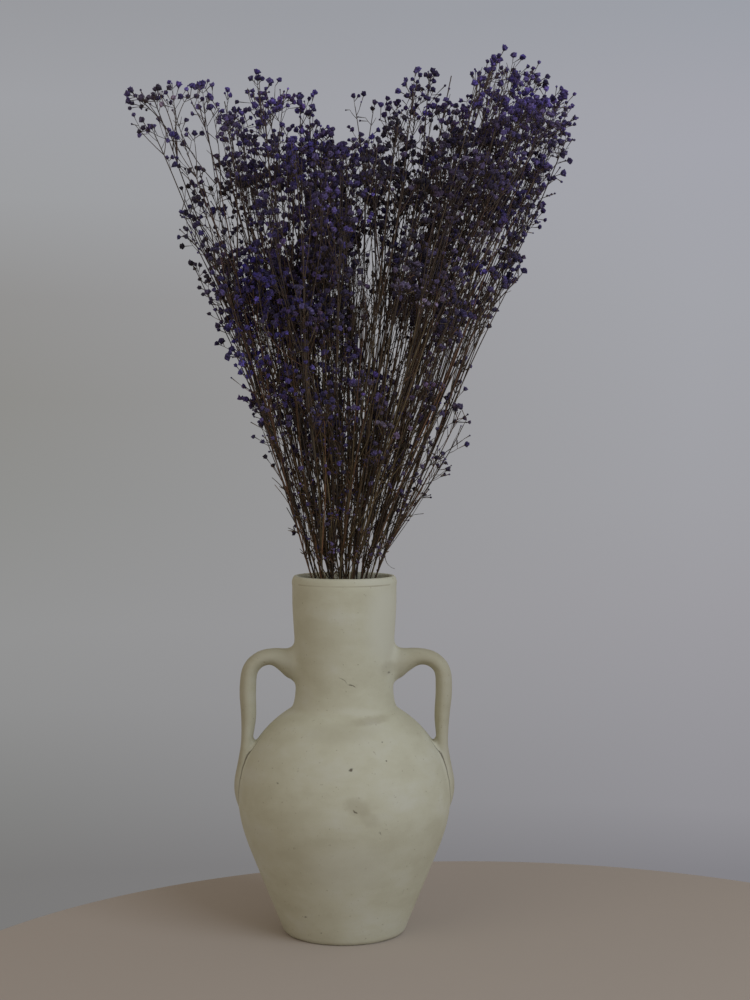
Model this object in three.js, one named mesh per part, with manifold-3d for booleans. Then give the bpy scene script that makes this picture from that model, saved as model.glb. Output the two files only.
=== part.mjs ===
// Preserved gypsophila standing in a two-handled earthenware vase.
// Millimetres, +Z up, origin at the centre of the vase's foot. The handles lie along X.
//
// The vase is one fired piece: a thrown body with two pulled handles luted on.
// Each flowering stem is one piece from its cut end on the vase's floor to its top floret.
// All stems belong to one fan. A stem has a seat in the unit disc, and the same map carries
// every seat to its place at each height, so stems and twigs that keep to a cell of their own
// in the disc never cross, from the floor through the neck to the heart-shaped crown.

import * as THREE from "three";
import { mergeVertices } from "three/addons/utils/BufferGeometryUtils.js";
import Module from "manifold-3d";

const wasm = await Module();
wasm.setup();

// Driving dimensions of the vase.
const VASE_HEIGHT = 300;
const FOOT_RADIUS = 51;
const BELLY_RADIUS = 88.6;
const BELLY_HEIGHT = 110;
const NECK_ROOT_RADIUS = 44.2;
const NECK_ROOT_HEIGHT = 188;
const MOUTH_RADIUS = 44.1;
const WALL = 6.5;
const FLOOR_THICKNESS = 8;
const FOOT_CHAMFER = 1.5;
const LIP_ROUNDING = 6;
const BODY_SIDES = 28;
const OUTER_STEPS = 4;
const RIM_STEPS = 2;
const INNER_STEPS = 3;
const HANDLE_SIDES = 8;
const HANDLE_STATIONS = 18;
const RIGHT_HANDLE_BOW = 3;

// Driving dimensions of the fan of stems.
const STEM_COUNT = 36;
const SEED = 41;
const REST_GAP = 0.3;
const STEM_FOOT = FLOOR_THICKNESS + REST_GAP;
const GATHER_HEIGHT = 229;
const GATHER_RADIUS = 12;
const SPREAD_ACROSS = 0.434;
const SPREAD_DEEP = 0.26;
const SPREAD_INSIDE = 0.16;
const LEAN = 0.064;
const LEAN_FROM = 312;
const SEAT_RADIUS = 0.91;
const GOLDEN_ANGLE = Math.PI * (3 - Math.sqrt(5));
const GATHERED_STATIONS = [130, GATHER_HEIGHT, VASE_HEIGHT - 5];

// The crown: how high the flowers reach for each seat from the left edge to the right.
const CROWN = [
  [-1.1, 470],
  [-1.0, 596],
  [-0.9, 640],
  [-0.8, 702],
  [-0.62, 714],
  [-0.42, 716],
  [-0.3, 700],
  [-0.17, 670],
  [0.02, 676],
  [0.12, 710],
  [0.25, 718],
  [0.43, 738],
  [0.55, 730],
  [0.7, 712],
  [0.86, 690],
  [0.94, 646],
  [1.0, 602],
  [1.1, 470],
];
const CROWN_ROUNDING = 58;
const WING = { from: -0.66, halfDepth: 0.3, bow: -34 };

// Driving dimensions of one flowering stem. Side twigs leave the stem two by two at knots, each
// pair turned a quarter from the last. A knot's share says how far up the reach its twigs end.
// A row of two numbers is a range, from which every stem, twig or floret draws its own.
const STEM_RADIUS = { foot: 1.35, tip: 0.8 };
const TIP_DROP = [0, 14];
const STRAY_BOW = [-5, 5];
const KNOTS = [
  { share: 0.36, length: 125, haveFlorets: false },
  { share: 0.63, length: 150, haveFlorets: true },
  { share: 0.85, length: 108, haveFlorets: true },
];
const KNOT_SHIFT = [-0.06, 0.06];
const KNOT_HALF_HEIGHT = 1.3;
const LOWEST_KNOT = 310;
const TOP_KNOT_BELOW_TIP = 38;
const TWIG = {
  radius: { root: 0.85, tip: 0.65 },
  spread: [0.092, 0.132],
  bend: 0.62,
  stray: [-0.25, 0.25],
  shift: [-0.045, 0.045],
};
const LOW_TWIG = { from: 0.76, end: [410, 440], spread: 0.2, size: 0.5 };
const PEDICEL = { radius: 0.6, rise: [20, 30], spread: [10.2, 13.8], turn: [1.2, 2] };
const FLORET = { radius: 6, cup: 4.8, dome: 3.4, middle: 3.4, calyx: 0.85 };
const FLORET_SIZE = { main: [0.9, 1.15], twig: [0.85, 1.15], pedicel: [0.78, 1.08] };
const PETAL_REACH = [0.86, 1.1];
const BUD_SHARE = 0.45;
const CLEARANCE = 0.6;
const DRAW_BACK = 3.2;
const DRAW_BACK_TRIES = 5;

// A small generator of repeatable random numbers from 0 to 1.
function seeded(seed) {
  let state = seed >>> 0;
  return () => {
    state = (state + 0x6d2b79f5) >>> 0;
    let mixed = Math.imul(state ^ (state >>> 15), state | 1);
    mixed = (mixed + Math.imul(mixed ^ (mixed >>> 7), mixed | 61)) ^ mixed;
    return ((mixed ^ (mixed >>> 14)) >>> 0) / 4294967296;
  };
}

function between(a, b, share) {
  return a + (b - a) * share;
}

// Straight-line interpolation in a table of [place, value] rows.
function lookUp(table, place) {
  if (place <= table[0][0]) return table[0][1];
  for (let i = 1; i < table.length; i++) {
    const [right, value] = table[i];
    if (place <= right) {
      const [left, before] = table[i - 1];
      return between(before, value, (place - left) / (right - left));
    }
  }
  return table[table.length - 1][1];
}

// Adds the faces of a band between two rings of point numbers, which may differ in count.
// A ring of one point closes the band to a tip.
function stitch(faces, lower, upper) {
  const upperSteps = upper.length > 1 ? upper.length : 0;
  let i = 0;
  let j = 0;
  while (i < lower.length || j < upperSteps) {
    const a = lower[i % lower.length];
    const b = upper[j % upper.length];
    const stepsLower = i < lower.length && (i + 1) / lower.length <= (j + 1) / upper.length;
    if (stepsLower || j === upperSteps) {
      i++;
      faces.push(a, lower[i % lower.length], b);
    } else {
      j++;
      faces.push(a, upper[j % upper.length], b);
    }
  }
}

function geometryOf(points, faces) {
  const geometry = new THREE.BufferGeometry();
  geometry.setFromPoints(points);
  geometry.setIndex(faces);
  geometry.computeVertexNormals();
  return geometry;
}

// A closed form carried through rings of points, which run anticlockwise seen from the far end.
function loft(rings) {
  const faces = [];
  let count = 0;
  const numbers = rings.map((ring) => ring.map(() => count++));
  for (let r = 0; r + 1 < rings.length; r++) stitch(faces, numbers[r], numbers[r + 1]);
  const first = numbers[0];
  const last = numbers.at(-1);
  for (let i = 1; i + 1 < first.length; i++) faces.push(first[0], first[i + 1], first[i]);
  for (let i = 1; i + 1 < last.length; i++) faces.push(last[0], last[i], last[i + 1]);
  return geometryOf(rings.flat(), faces);
}

// A ring of points round a centre, square to a direction, one for each reach. The first point
// lies towards the reference.
function ringAt(centre, direction, reaches, reference) {
  const along = direction.clone().normalize();
  const across = reference.clone().addScaledVector(along, -along.dot(reference)).normalize();
  const aside = along.clone().cross(across);
  return reaches.map((reach, i) => {
    const angle = (2 * Math.PI * i) / reaches.length;
    return centre
      .clone()
      .addScaledVector(across, reach * Math.cos(angle))
      .addScaledVector(aside, reach * Math.sin(angle));
  });
}

function toSolid(geometry) {
  const bare = geometry.clone();
  bare.deleteAttribute("normal");
  bare.deleteAttribute("uv");
  const merged = mergeVertices(bare, 1e-4);
  return new wasm.Manifold(
    new wasm.Mesh({
      numProp: 3,
      vertProperties: merged.attributes.position.array,
      triVerts: new Uint32Array(merged.index.array),
    }),
  );
}

function toGeometry(solid) {
  const mesh = solid.getMesh();
  const geometry = new THREE.BufferGeometry();
  geometry.setAttribute("position", new THREE.BufferAttribute(mesh.vertProperties, 3));
  geometry.setIndex(new THREE.BufferAttribute(mesh.triVerts, 1));
  geometry.computeVertexNormals();
  return geometry;
}

function fuse(geometries) {
  return toGeometry(geometries.map(toSolid).reduce((whole, piece) => whole.add(piece)));
}

// The thrown body: one closed profile from the middle of the foot, up the outside, over the
// rounded lip and down the inside to the middle of the floor.
function vaseBody() {
  const inside = MOUTH_RADIUS - WALL;
  const lip = VASE_HEIGHT - LIP_ROUNDING;
  const outer = new THREE.Path();
  outer.moveTo(0, 0);
  outer.lineTo(FOOT_RADIUS - FOOT_CHAMFER, 0);
  outer.lineTo(FOOT_RADIUS, FOOT_CHAMFER);
  outer.lineTo(78.5, 69);
  outer.bezierCurveTo(82.5, 79, BELLY_RADIUS, 96, BELLY_RADIUS, BELLY_HEIGHT);
  outer.bezierCurveTo(BELLY_RADIUS, 126, 84.2, 164.6, NECK_ROOT_RADIUS, NECK_ROOT_HEIGHT);
  outer.bezierCurveTo(36.8, 201, MOUTH_RADIUS, 259.5, MOUTH_RADIUS, 280);
  outer.lineTo(MOUTH_RADIUS, lip);
  const rim = new THREE.Path();
  rim.moveTo(MOUTH_RADIUS, lip);
  rim.quadraticCurveTo(MOUTH_RADIUS, VASE_HEIGHT, MOUTH_RADIUS - WALL / 2, VASE_HEIGHT);
  rim.quadraticCurveTo(inside, VASE_HEIGHT, inside, lip);
  const inner = new THREE.Path();
  inner.moveTo(inside, lip);
  inner.bezierCurveTo(inside, 254, 30.5, 205, NECK_ROOT_RADIUS - WALL, 184);
  inner.bezierCurveTo(76.5, 161, BELLY_RADIUS - WALL, 126, BELLY_RADIUS - WALL, BELLY_HEIGHT);
  inner.lineTo(71.5, 69);
  inner.lineTo(47, 14);
  inner.lineTo(40, FLOOR_THICKNESS);
  inner.lineTo(0, FLOOR_THICKNESS);
  const profile = [
    ...outer.getPoints(OUTER_STEPS),
    ...rim.getPoints(RIM_STEPS).slice(1),
    ...inner.getPoints(INNER_STEPS).slice(1),
  ];
  return new THREE.LatheGeometry(profile, BODY_SIDES).rotateX(Math.PI / 2);
}

// A pulled handle: a strap that flares where it is luted to the neck, bends down, and is
// pressed along the belly. Rows give distance from the axis, height, half thickness, half width.
const HANDLE = [
  [38.8, 222.6, 16, 12],
  [44, 223.6, 15.6, 12],
  [50, 227.8, 11.4, 11],
  [60, 231.2, 7.5, 10.3],
  [71, 229, 6.6, 10],
  [79.3, 219.9, 6.8, 10],
  [81.2, 202.4, 7, 10],
  [80.6, 180.4, 6.4, 10.3],
  [80.4, 159.4, 6, 11],
  [84.4, 142.4, 5.2, 12],
  [88, 126.4, 4.6, 11.5],
  [87.8, 114.4, 4, 10],
  [85.4, 103.4, 2.2, 6],
];
// Along the handle, the stretch that stands free of the body and bows out.
const FREE_STRETCH = { from: 0.12, to: 0.68 };

function vaseHandle(side, bow) {
  const path = new THREE.CatmullRomCurve3(HANDLE.map(([x, z]) => new THREE.Vector3(x, 0, z)));
  const girth = new THREE.CatmullRomCurve3(HANDLE.map(([, , a, b]) => new THREE.Vector3(a, b, 0)));
  const length = FREE_STRETCH.to - FREE_STRETCH.from;
  const rings = [];
  for (let s = 0; s < HANDLE_STATIONS; s++) {
    const t = s / (HANDLE_STATIONS - 1);
    const centre = path.getPoint(t);
    const tangent = path.getTangent(t);
    const half = girth.getPoint(t);
    const free = THREE.MathUtils.clamp((t - FREE_STRETCH.from) / length, 0, 1);
    centre.x += bow * Math.sin(Math.PI * free);
    const thick = new THREE.Vector3(tangent.z, 0, -tangent.x);
    rings.push(
      Array.from({ length: HANDLE_SIDES }, (_, i) => {
        const angle = (2 * Math.PI * i) / HANDLE_SIDES;
        const point = centre.clone().addScaledVector(thick, half.x * Math.cos(angle));
        point.y = half.y * Math.sin(angle);
        return new THREE.Vector3(side * point.x, side * point.y, point.z);
      }),
    );
  }
  return loft(rings);
}

// Where the seat (a, b) of the unit disc lies at height z. The disc turns as it passes the
// neck, so the stems cross there as in a spiral bunch and stay nearly straight.
function fan(a, b, z) {
  const rise = z - GATHER_HEIGHT;
  const across = Math.hypot(GATHER_RADIUS, rise * (rise > 0 ? SPREAD_ACROSS : SPREAD_INSIDE));
  const deep = Math.hypot(GATHER_RADIUS, rise * (rise > 0 ? SPREAD_DEEP : SPREAD_INSIDE));
  const turn = Math.atan((rise * SPREAD_ACROSS) / GATHER_RADIUS) - Math.PI / 2;
  const x = a * Math.cos(turn) - b * Math.sin(turn);
  const y = a * Math.sin(turn) + b * Math.cos(turn);
  return new THREE.Vector3(across * x + LEAN * Math.max(z - LEAN_FROM, 0), deep * y, z);
}

// Seats follow a sunflower spiral, which spaces them evenly in the disc.
function seatOf(index) {
  const distance = SEAT_RADIUS * Math.sqrt((index + 0.5) / STEM_COUNT);
  const angle = index * GOLDEN_ANGLE;
  return { a: distance * Math.cos(angle), b: distance * Math.sin(angle) };
}

// How high a flower at the seat (a, b) may stand: the crown falls away to front and back.
function crownHeight(a, b) {
  return lookUp(CROWN, a) - CROWN_ROUNDING * b * b;
}

// One flowering stem as a list of shoots, each after the one that it grows from. A shoot has
// the points of its centreline, a radius at each, and the size and petals of its floret. It
// grows from the parent's point number knot, and a pair of shoots shares that knot.
function growStem(index) {
  const random = seeded(SEED + index);
  const draw = ([least, most]) => between(least, most, random());
  const seat = seatOf(index);
  const tip = crownHeight(seat.a, seat.b) - draw(TIP_DROP);
  const reach = tip - VASE_HEIGHT;
  const isWing = seat.a < WING.from && Math.abs(seat.b) < WING.halfDepth;
  const stray = draw(STRAY_BOW);
  const bow = isWing ? WING.bow : stray;
  const place = (a, b, z) => {
    const point = fan(a, b, z);
    point.x += bow * (Math.max(z - VASE_HEIGHT, 0) / reach) ** 2;
    return point;
  };
  const shoots = [];
  const addShoot = (parent, knot, points, radii, size) => {
    const petals = Array.from({ length: 5 }, () => draw(PETAL_REACH));
    const root = parent ? [parent.points[knot].clone()] : [];
    shoots.push({ parent, knot, points: [...root, ...points], radii, size, petals });
    return shoots.at(-1);
  };
  const addPedicels = (parent, knot, heading) => {
    const up = parent.points[knot + 1].clone().sub(parent.points[knot]).normalize();
    for (const side of [heading, heading + Math.PI]) {
      const spread = draw(PEDICEL.spread);
      const end = parent.points[knot].clone().addScaledVector(up, draw(PEDICEL.rise));
      end.x += spread * Math.cos(side);
      end.y += spread * Math.sin(side);
      const radii = [PEDICEL.radius, PEDICEL.radius];
      addShoot(parent, knot, [end], radii, draw(FLORET_SIZE.pedicel));
    }
  };
  const addTwig = (main, knot, end, spread, heading, size) => {
    const start = main.points[knot].z;
    const ease = (t) => spread * (1 - (1 - t) ** 2);
    const a = (t) => seat.a + ease(t) * Math.cos(heading);
    const b = (t) => seat.b + ease(t) * Math.sin(heading);
    const top = Math.min(end, crownHeight(a(1), b(1)));
    const points = [TWIG.bend, 1].map((t) => place(a(t), b(t), between(start, top, t)));
    const radii = [0, TWIG.bend, 1].map((t) => between(TWIG.radius.root, TWIG.radius.tip, t));
    return addShoot(main, knot, points, radii, size);
  };

  const shift = draw(KNOT_SHIFT);
  const ends = KNOTS.map(({ share }) => VASE_HEIGHT + reach * (share + shift));
  const knots = KNOTS.map(({ length }, n) => Math.max(ends[n] - length, LOWEST_KNOT));
  const gathered = [STEM_FOOT, ...GATHERED_STATIONS];
  const heights = [...gathered, ...knots, tip - TOP_KNOT_BELOW_TIP, tip];
  const points = heights.map((z) => place(seat.a, seat.b, z));
  const radii = heights.map((z) => between(STEM_RADIUS.foot, STEM_RADIUS.tip, z / tip));
  const main = addShoot(null, 0, points, radii, draw(FLORET_SIZE.main));
  const turn = Math.PI * random();
  KNOTS.forEach(({ haveFlorets }, n) => {
    for (const side of [turn, turn + Math.PI]) {
      const heading = side + (n * Math.PI) / 2 + draw(TWIG.stray);
      const end = ends[n] + reach * draw(TWIG.shift);
      const size = draw(FLORET_SIZE.twig);
      const twig = addTwig(main, gathered.length + n, end, draw(TWIG.spread), heading, size);
      if (haveFlorets) addPedicels(twig, 1, heading + draw(PEDICEL.turn));
    }
  });
  addPedicels(main, heights.length - 2, turn + (KNOTS.length * Math.PI) / 2);
  if (Math.abs(seat.a) > LOW_TWIG.from) {
    const outwards = seat.a > 0 ? 0 : Math.PI;
    addTwig(main, gathered.length, draw(LOW_TWIG.end), LOW_TWIG.spread, outwards, LOW_TWIG.size);
  }
  return shoots;
}

// The middle of a shoot's floret, a little beyond the end of its twig.
function floretCentre(shoot) {
  const end = shoot.points.at(-1);
  const direction = end.clone().sub(shoot.points.at(-2)).normalize();
  return end.clone().addScaledVector(direction, FLORET.middle * shoot.size);
}

function widest(shoot) {
  return FLORET.radius * PETAL_REACH[1] * shoot.size;
}

// Whether a shoot's floret is clear of every other floret and twig.
function floretIsClear(shoot, others) {
  const centre = floretCentre(shoot);
  const room = widest(shoot) + CLEARANCE;
  const nearest = new THREE.Vector3();
  return others.every((other) => {
    if (other === shoot) return true;
    if (other.head && other.head.distanceTo(centre) < room + widest(other)) return false;
    return other.segments.every((segment, i) => {
      segment.closestPointToPoint(centre, true, nearest);
      return nearest.distanceTo(centre) > room + other.radii[i];
    });
  });
}

function areJoined(a, b) {
  return a.parent === b || b.parent === a || (a.parent === b.parent && a.knot === b.knot);
}

// Whether a shoot's twig is clear of every twig that it isn't joined to.
function twigIsClear(shoot, others) {
  return others.every((other) => {
    if (other === shoot || other.isLost || (shoot.stem === other.stem && areJoined(shoot, other))) {
      return true;
    }
    return shoot.segments.every((mine, i) =>
      other.segments.every((theirs, j) => {
        const room = shoot.radii[i] + other.radii[j] + CLEARANCE;
        return mine.distanceSqToLine3(theirs) > room * room;
      }),
    );
  });
}

// Shoots give way to each other: a side shoot that would run through another is left out, with
// what it carries, and a floret that would touch one is drawn back along its twig, then stays a
// bud, and at last leaves the twig bare.
function settle(stems) {
  stems.forEach((stem, number) => {
    for (const shoot of stem) {
      shoot.stem = number;
      shoot.segments = shoot.points.slice(1).map((p, i) => new THREE.Line3(shoot.points[i], p));
    }
  });
  const all = stems.flat();
  for (const shoot of all.filter(({ parent }) => parent)) {
    shoot.isLost = Boolean(shoot.parent.isLost) || !twigIsClear(shoot, all);
  }
  const kept = all.filter((shoot) => !shoot.isLost);
  for (const shoot of kept) {
    const end = shoot.points.at(-1);
    const free = end.clone();
    const back = shoot.points.at(-2).clone().sub(free).normalize();
    let isClear = floretIsClear(shoot, kept);
    for (let tries = 1; tries < DRAW_BACK_TRIES && !isClear; tries++) {
      end.copy(free).addScaledVector(back, DRAW_BACK * tries);
      isClear = floretIsClear(shoot, kept);
    }
    if (!isClear) {
      end.copy(free);
      shoot.size *= BUD_SHARE;
      isClear = floretIsClear(shoot, kept);
    }
    shoot.isBare = !isClear;
    shoot.head = isClear ? floretCentre(shoot) : null;
  }
  return stems.map((stem) => stem.filter((shoot) => !shoot.isLost));
}

// The skin of one stem. Every shoot is a three-sided tube that opens into a five-cornered
// floret. A knot is a short band of the parent's tube, and the sides of it that face the
// shoots springing there are left open for them to grow from.
function stemGeometry(shoots) {
  const points = [];
  const faces = [];
  const addRing = (ring) => ring.map((point) => points.push(point) - 1);
  for (const shoot of shoots) {
    const { parent, radii, size, petals } = shoot;
    const line = shoot.points;
    const last = line.length - 1;
    const heading = (i) => {
      const before = line[Math.max(i - 1, 0)];
      const after = line[Math.min(i + 1, last)];
      return after.clone().sub(before).normalize();
    };
    const reference = parent ? shoot.rootDirection : new THREE.Vector3(1, 0, 0);
    let lower = shoot.base;
    for (let i = parent ? 1 : 0; i < last; i++) {
      const along = i === 0 ? new THREE.Vector3(0, 0, 1) : heading(i);
      const reaches = Array(3).fill(radii[i]);
      const springing = shoots.filter((other) => other.parent === shoot && other.knot === i);
      const half = springing.length > 0 ? KNOT_HALF_HEIGHT : 0;
      const start = line[i].clone().addScaledVector(along, -half);
      const ring = addRing(ringAt(start, along, reaches, reference));
      if (lower) stitch(faces, lower, ring);
      else faces.push(ring[0], ring[2], ring[1]);
      lower = ring;
      if (springing.length === 0) continue;
      const finish = line[i].clone().addScaledVector(along, half);
      const upper = addRing(ringAt(finish, along, reaches, reference));
      const sides = [0, 1, 2].map((side) => {
        const next = (side + 1) % 3;
        const outwards = points[lower[side]].clone().add(points[lower[next]]);
        outwards.addScaledVector(start, -2).normalize();
        return { corners: [lower[side], lower[next], upper[next], upper[side]], outwards };
      });
      for (const child of springing) {
        const leaving = child.points[1].clone().sub(child.points[0]);
        const free = sides.filter((side) => !side.isTaken);
        free.sort((a, b) => b.outwards.dot(leaving) - a.outwards.dot(leaving));
        free[0].isTaken = true;
        child.base = free[0].corners;
        child.rootDirection = along.clone().negate();
      }
      for (const { corners, isTaken } of sides) {
        const [a, b, c, d] = corners;
        if (!isTaken) faces.push(a, b, c, a, c, d);
      }
      lower = upper;
    }
    if (shoot.isBare) {
      stitch(faces, lower, addRing([line[last]]));
      continue;
    }
    const up = line[last].clone().sub(line[last - 1]).normalize();
    const rim = line[last].clone().addScaledVector(up, FLORET.cup * size);
    const calyx = addRing(ringAt(line[last], up, Array(3).fill(FLORET.calyx), reference));
    const reaches = petals.map((petal) => FLORET.radius * size * petal);
    const edge = addRing(ringAt(rim, up, reaches, reference));
    stitch(faces, lower, calyx);
    stitch(faces, calyx, edge);
    stitch(faces, edge, addRing([rim.clone().addScaledVector(up, FLORET.dome * size)]));
  }
  return geometryOf(points, faces);
}

const bisque = new THREE.MeshStandardMaterial({ color: 0xd8d2b4, roughness: 0.85, metalness: 0 });
const dyed = new THREE.MeshStandardMaterial({ color: 0x40346e, roughness: 0.9, metalness: 0 });

const group = new THREE.Group();

function addMesh(name, geometry, material) {
  const mesh = new THREE.Mesh(geometry, material);
  mesh.name = name;
  group.add(mesh);
}

addMesh("vase", fuse([vaseBody(), vaseHandle(-1, 0), vaseHandle(1, RIGHT_HANDLE_BOW)]), bisque);

const stems = Array.from({ length: STEM_COUNT }, (_, index) => growStem(index));
settle(stems).forEach((shoots, index) => {
  addMesh("gypsophila_stem_" + String(index + 1).padStart(2, "0"), stemGeometry(shoots), dyed);
});

export default group;
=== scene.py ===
# %% [markdown]
# # Preserved gypsophila in a two-handled vase
#
# The real object is a bunch of dyed, dried baby's breath standing in a matt cream earthenware
# vase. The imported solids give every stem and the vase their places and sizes. This scene keeps
# those forms and dresses them: a smooth thrown vase with its marks, fine forked twigs, and some
# thousands of small ruffled florets. Everything is worked out as numpy arrays in millimetres and
# handed to Blender in metres.

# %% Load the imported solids
import math

import bpy
import numpy as np
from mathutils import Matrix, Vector


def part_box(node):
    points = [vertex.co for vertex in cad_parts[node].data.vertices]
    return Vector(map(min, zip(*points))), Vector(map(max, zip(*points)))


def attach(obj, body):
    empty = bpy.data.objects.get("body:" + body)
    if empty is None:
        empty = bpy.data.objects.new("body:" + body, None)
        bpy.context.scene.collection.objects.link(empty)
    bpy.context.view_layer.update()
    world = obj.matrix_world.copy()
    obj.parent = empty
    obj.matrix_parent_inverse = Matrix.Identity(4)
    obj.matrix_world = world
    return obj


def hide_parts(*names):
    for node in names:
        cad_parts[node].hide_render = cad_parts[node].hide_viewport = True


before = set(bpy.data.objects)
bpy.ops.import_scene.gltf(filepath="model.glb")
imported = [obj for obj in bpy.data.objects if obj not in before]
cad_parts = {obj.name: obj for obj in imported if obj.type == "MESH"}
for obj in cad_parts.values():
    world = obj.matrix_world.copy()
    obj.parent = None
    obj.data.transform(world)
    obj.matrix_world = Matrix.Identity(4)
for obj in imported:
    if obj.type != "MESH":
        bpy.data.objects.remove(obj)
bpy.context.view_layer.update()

MM = 0.001
STEM_NODES = sorted(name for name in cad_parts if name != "vase")
print("solids:", len(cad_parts), "of which stems:", len(STEM_NODES))

# %% [markdown]
# ## Small helpers
#
# Colours are written as the sRGB hex codes that a colour picker shows, but a renderer adds light
# in linear values, so one function turns them. Shader nodes are added by one function too, which
# sets a node's settings and links or fills its inputs in one line.

# %% Colours and shader nodes
def linear(code):
    """Linear red, green, blue and alpha of an sRGB hex code.

    A channel c above 0.04045 becomes ((c + 0.055) / 1.055) to the power 2.4, a darker one c / 12.92.
    """
    channel = np.array([int(code[i : i + 2], 16) for i in (0, 2, 4)]) / 255
    bright = ((channel + 0.055) / 1.055) ** 2.4
    return (*np.where(channel > 0.04045, bright, channel / 12.92).tolist(), 1.0)


def add(tree, kind, inputs=None, stops=(), **settings):
    """Adds a shader node. An input is linked if it is given a socket, and set if given a value.
    A colour ramp's own two stops are swapped for the given ones, each a position and a hex code.
    """
    node = tree.nodes.new(kind)
    for name, value in settings.items():
        setattr(node, name, value)
    for name, value in (inputs or {}).items():
        socket = node.inputs[name]
        if isinstance(value, bpy.types.NodeSocket):
            tree.links.new(value, socket)
        else:
            socket.default_value = value
    if stops:
        ramp = node.color_ramp.elements
        ramp.remove(ramp[1])
        for position, code in stops:
            ramp.new(position).color = linear(code)
        ramp.remove(ramp[0])
    return node


def new_material(name):
    """A material with its node tree emptied of all but the output, and the output node."""
    material = bpy.data.materials.new(name)
    material.use_nodes = True
    tree = material.node_tree
    tree.nodes.clear()
    return material, tree, tree.nodes.new("ShaderNodeOutputMaterial")


def placed(name, data):
    """A new object that holds some data, put into the scene."""
    made = bpy.data.objects.new(name, data)
    bpy.context.scene.collection.objects.link(made)
    return made


# A Mix node has sockets for each kind of data. These are the numbers of its colour ones.
MIX = {"share": 0, "from": 6, "to": 7, "result": 2}
print("white paper is", [round(value, 3) for value in linear("f4f1ea")])

# %% [markdown]
# ## Skins over rings
#
# A vase, a handle and a twig are all rings of points carried along a line. One function turns any
# number of such tubes into faces at once: each point of a ring is joined to its neighbour and to
# the ring above, and the first and last rings are closed with a flat cap, so that every tube is a
# closed body whose faces point outwards.

# %% Rings to closed meshes
def skin(rings):
    """Points and faces of closed tubes from an array (tubes, rings, sides, 3).

    Point k of a ring, point k + 1, and the same two of the next ring make a face. Rings run
    anticlockwise seen from the far end, so the faces look outwards.
    """
    tubes, count, sides, _ = rings.shape
    number = np.arange(tubes * count * sides).reshape(tubes, count, sides)
    low = number[:, :-1]
    high = number[:, 1:]
    around = [low, np.roll(low, -1, 2), np.roll(high, -1, 2), high]
    walls = np.stack(around, -1).reshape(-1, 4)
    return rings.reshape(-1, 3), [walls, number[:, 0, ::-1], number[:, -1]]


def joined(parts):
    """Several (points, faces) pairs as one, the later face numbers moved on past the earlier."""
    offsets = np.cumsum([0] + [len(points) for points, _ in parts])
    faces = [face + offset for (_, own), offset in zip(parts, offsets) for face in own]
    return np.concatenate([points for points, _ in parts]), faces


def mesh_object(name, points, faces, smooth=True):
    """An object in the scene from points in millimetres and a list of face arrays."""
    corners = np.concatenate([face.reshape(-1) for face in faces])
    widths = np.concatenate([np.full(len(face), face.shape[1]) for face in faces])
    mesh = bpy.data.meshes.new(name)
    mesh.vertices.add(len(points))
    mesh.vertices.foreach_set("co", (points * MM).astype(np.float32).ravel())
    mesh.loops.add(len(corners))
    mesh.loops.foreach_set("vertex_index", corners.astype(np.int32))
    mesh.polygons.add(len(widths))
    mesh.polygons.foreach_set("loop_start", (np.cumsum(widths) - widths).astype(np.int32))
    mesh.update(calc_edges=True)
    mesh.polygons.foreach_set("use_smooth", np.full(len(widths), smooth))
    return placed(name, mesh)


def unit(vectors):
    """Each vector divided by its length."""
    return vectors / np.maximum(np.linalg.norm(vectors, axis=-1, keepdims=True), 1e-9)

# %% [markdown]
# ## The view
#
# The camera stands where the photograph was taken: 1.45 m in front of the vase and level with the
# lower flowers, tipped down by two degrees and turned a degree to the right, which sets the vase
# left of the middle. The lens is a 62 mm one on a frame that is 36 mm on its long side.

# %% Camera
CAMERA_DISTANCE = 1446
CAMERA_HEIGHT = 412
CAMERA_TILT_DOWN = math.radians(1.946)
CAMERA_TURN_RIGHT = math.radians(1.02)
LENS_MM = 62.1
FRAME_MM = 36

camera_data = bpy.data.cameras.new("camera")
camera_data.lens = LENS_MM
camera_data.sensor_width = FRAME_MM
camera = placed("camera", camera_data)
camera.location = (0, -CAMERA_DISTANCE * MM, CAMERA_HEIGHT * MM)
camera.rotation_euler = (math.pi / 2 - CAMERA_TILT_DOWN, 0, -CAMERA_TURN_RIGHT)
bpy.context.scene.camera = camera
print("camera at", [round(value, 3) for value in camera.location])

# %% [markdown]
# ## The vase: one thrown body and two pulled handles
#
# A potter throws the body on a wheel, so it is a profile turned round an axis: out from the foot,
# round the belly, in at the neck, up to a rounded lip and down again inside. The handles are
# pulled straps, thick where they are pressed onto the neck and thin where they are smoothed onto
# the belly. Modelling the three apart would leave hard creases where they meet. So the closed
# shapes are put into one mesh, remeshed into one skin of small squares, and relaxed only near
# the joints, as wet clay is when a thumb smooths it.

# %% Profile of the thrown body
VASE_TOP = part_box("vase")[1].z / MM
FOOT_RADIUS = 51
FOOT_CHAMFER = 1.5
BELLY_RADIUS = 88.6
BELLY_HEIGHT = 110
NECK_RADIUS = 44.2
NECK_HEIGHT = 188
MOUTH_RADIUS = 44.1
COLLAR_HEIGHT = 280
WALL = 6.5
FLOOR_THICKNESS = 8
LIP_ROUNDING = 6
BODY_SIDES = 160
# Places of the wall as (radius, height): where the straight flare above the foot starts and ends,
# the flare's top inside, the neck inside, and the two ends of the round between wall and floor.
FLARE_START = (FOOT_RADIUS + 0.4, FOOT_CHAMFER)
FLARE_TOP = (78.5, 69)
FLARE_TOP_INSIDE = (71.5, 69)
NECK_INSIDE = (NECK_RADIUS - WALL, 184)
FLOOR_ROUND = [(47, 14), (40, FLOOR_THICKNESS)]


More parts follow.
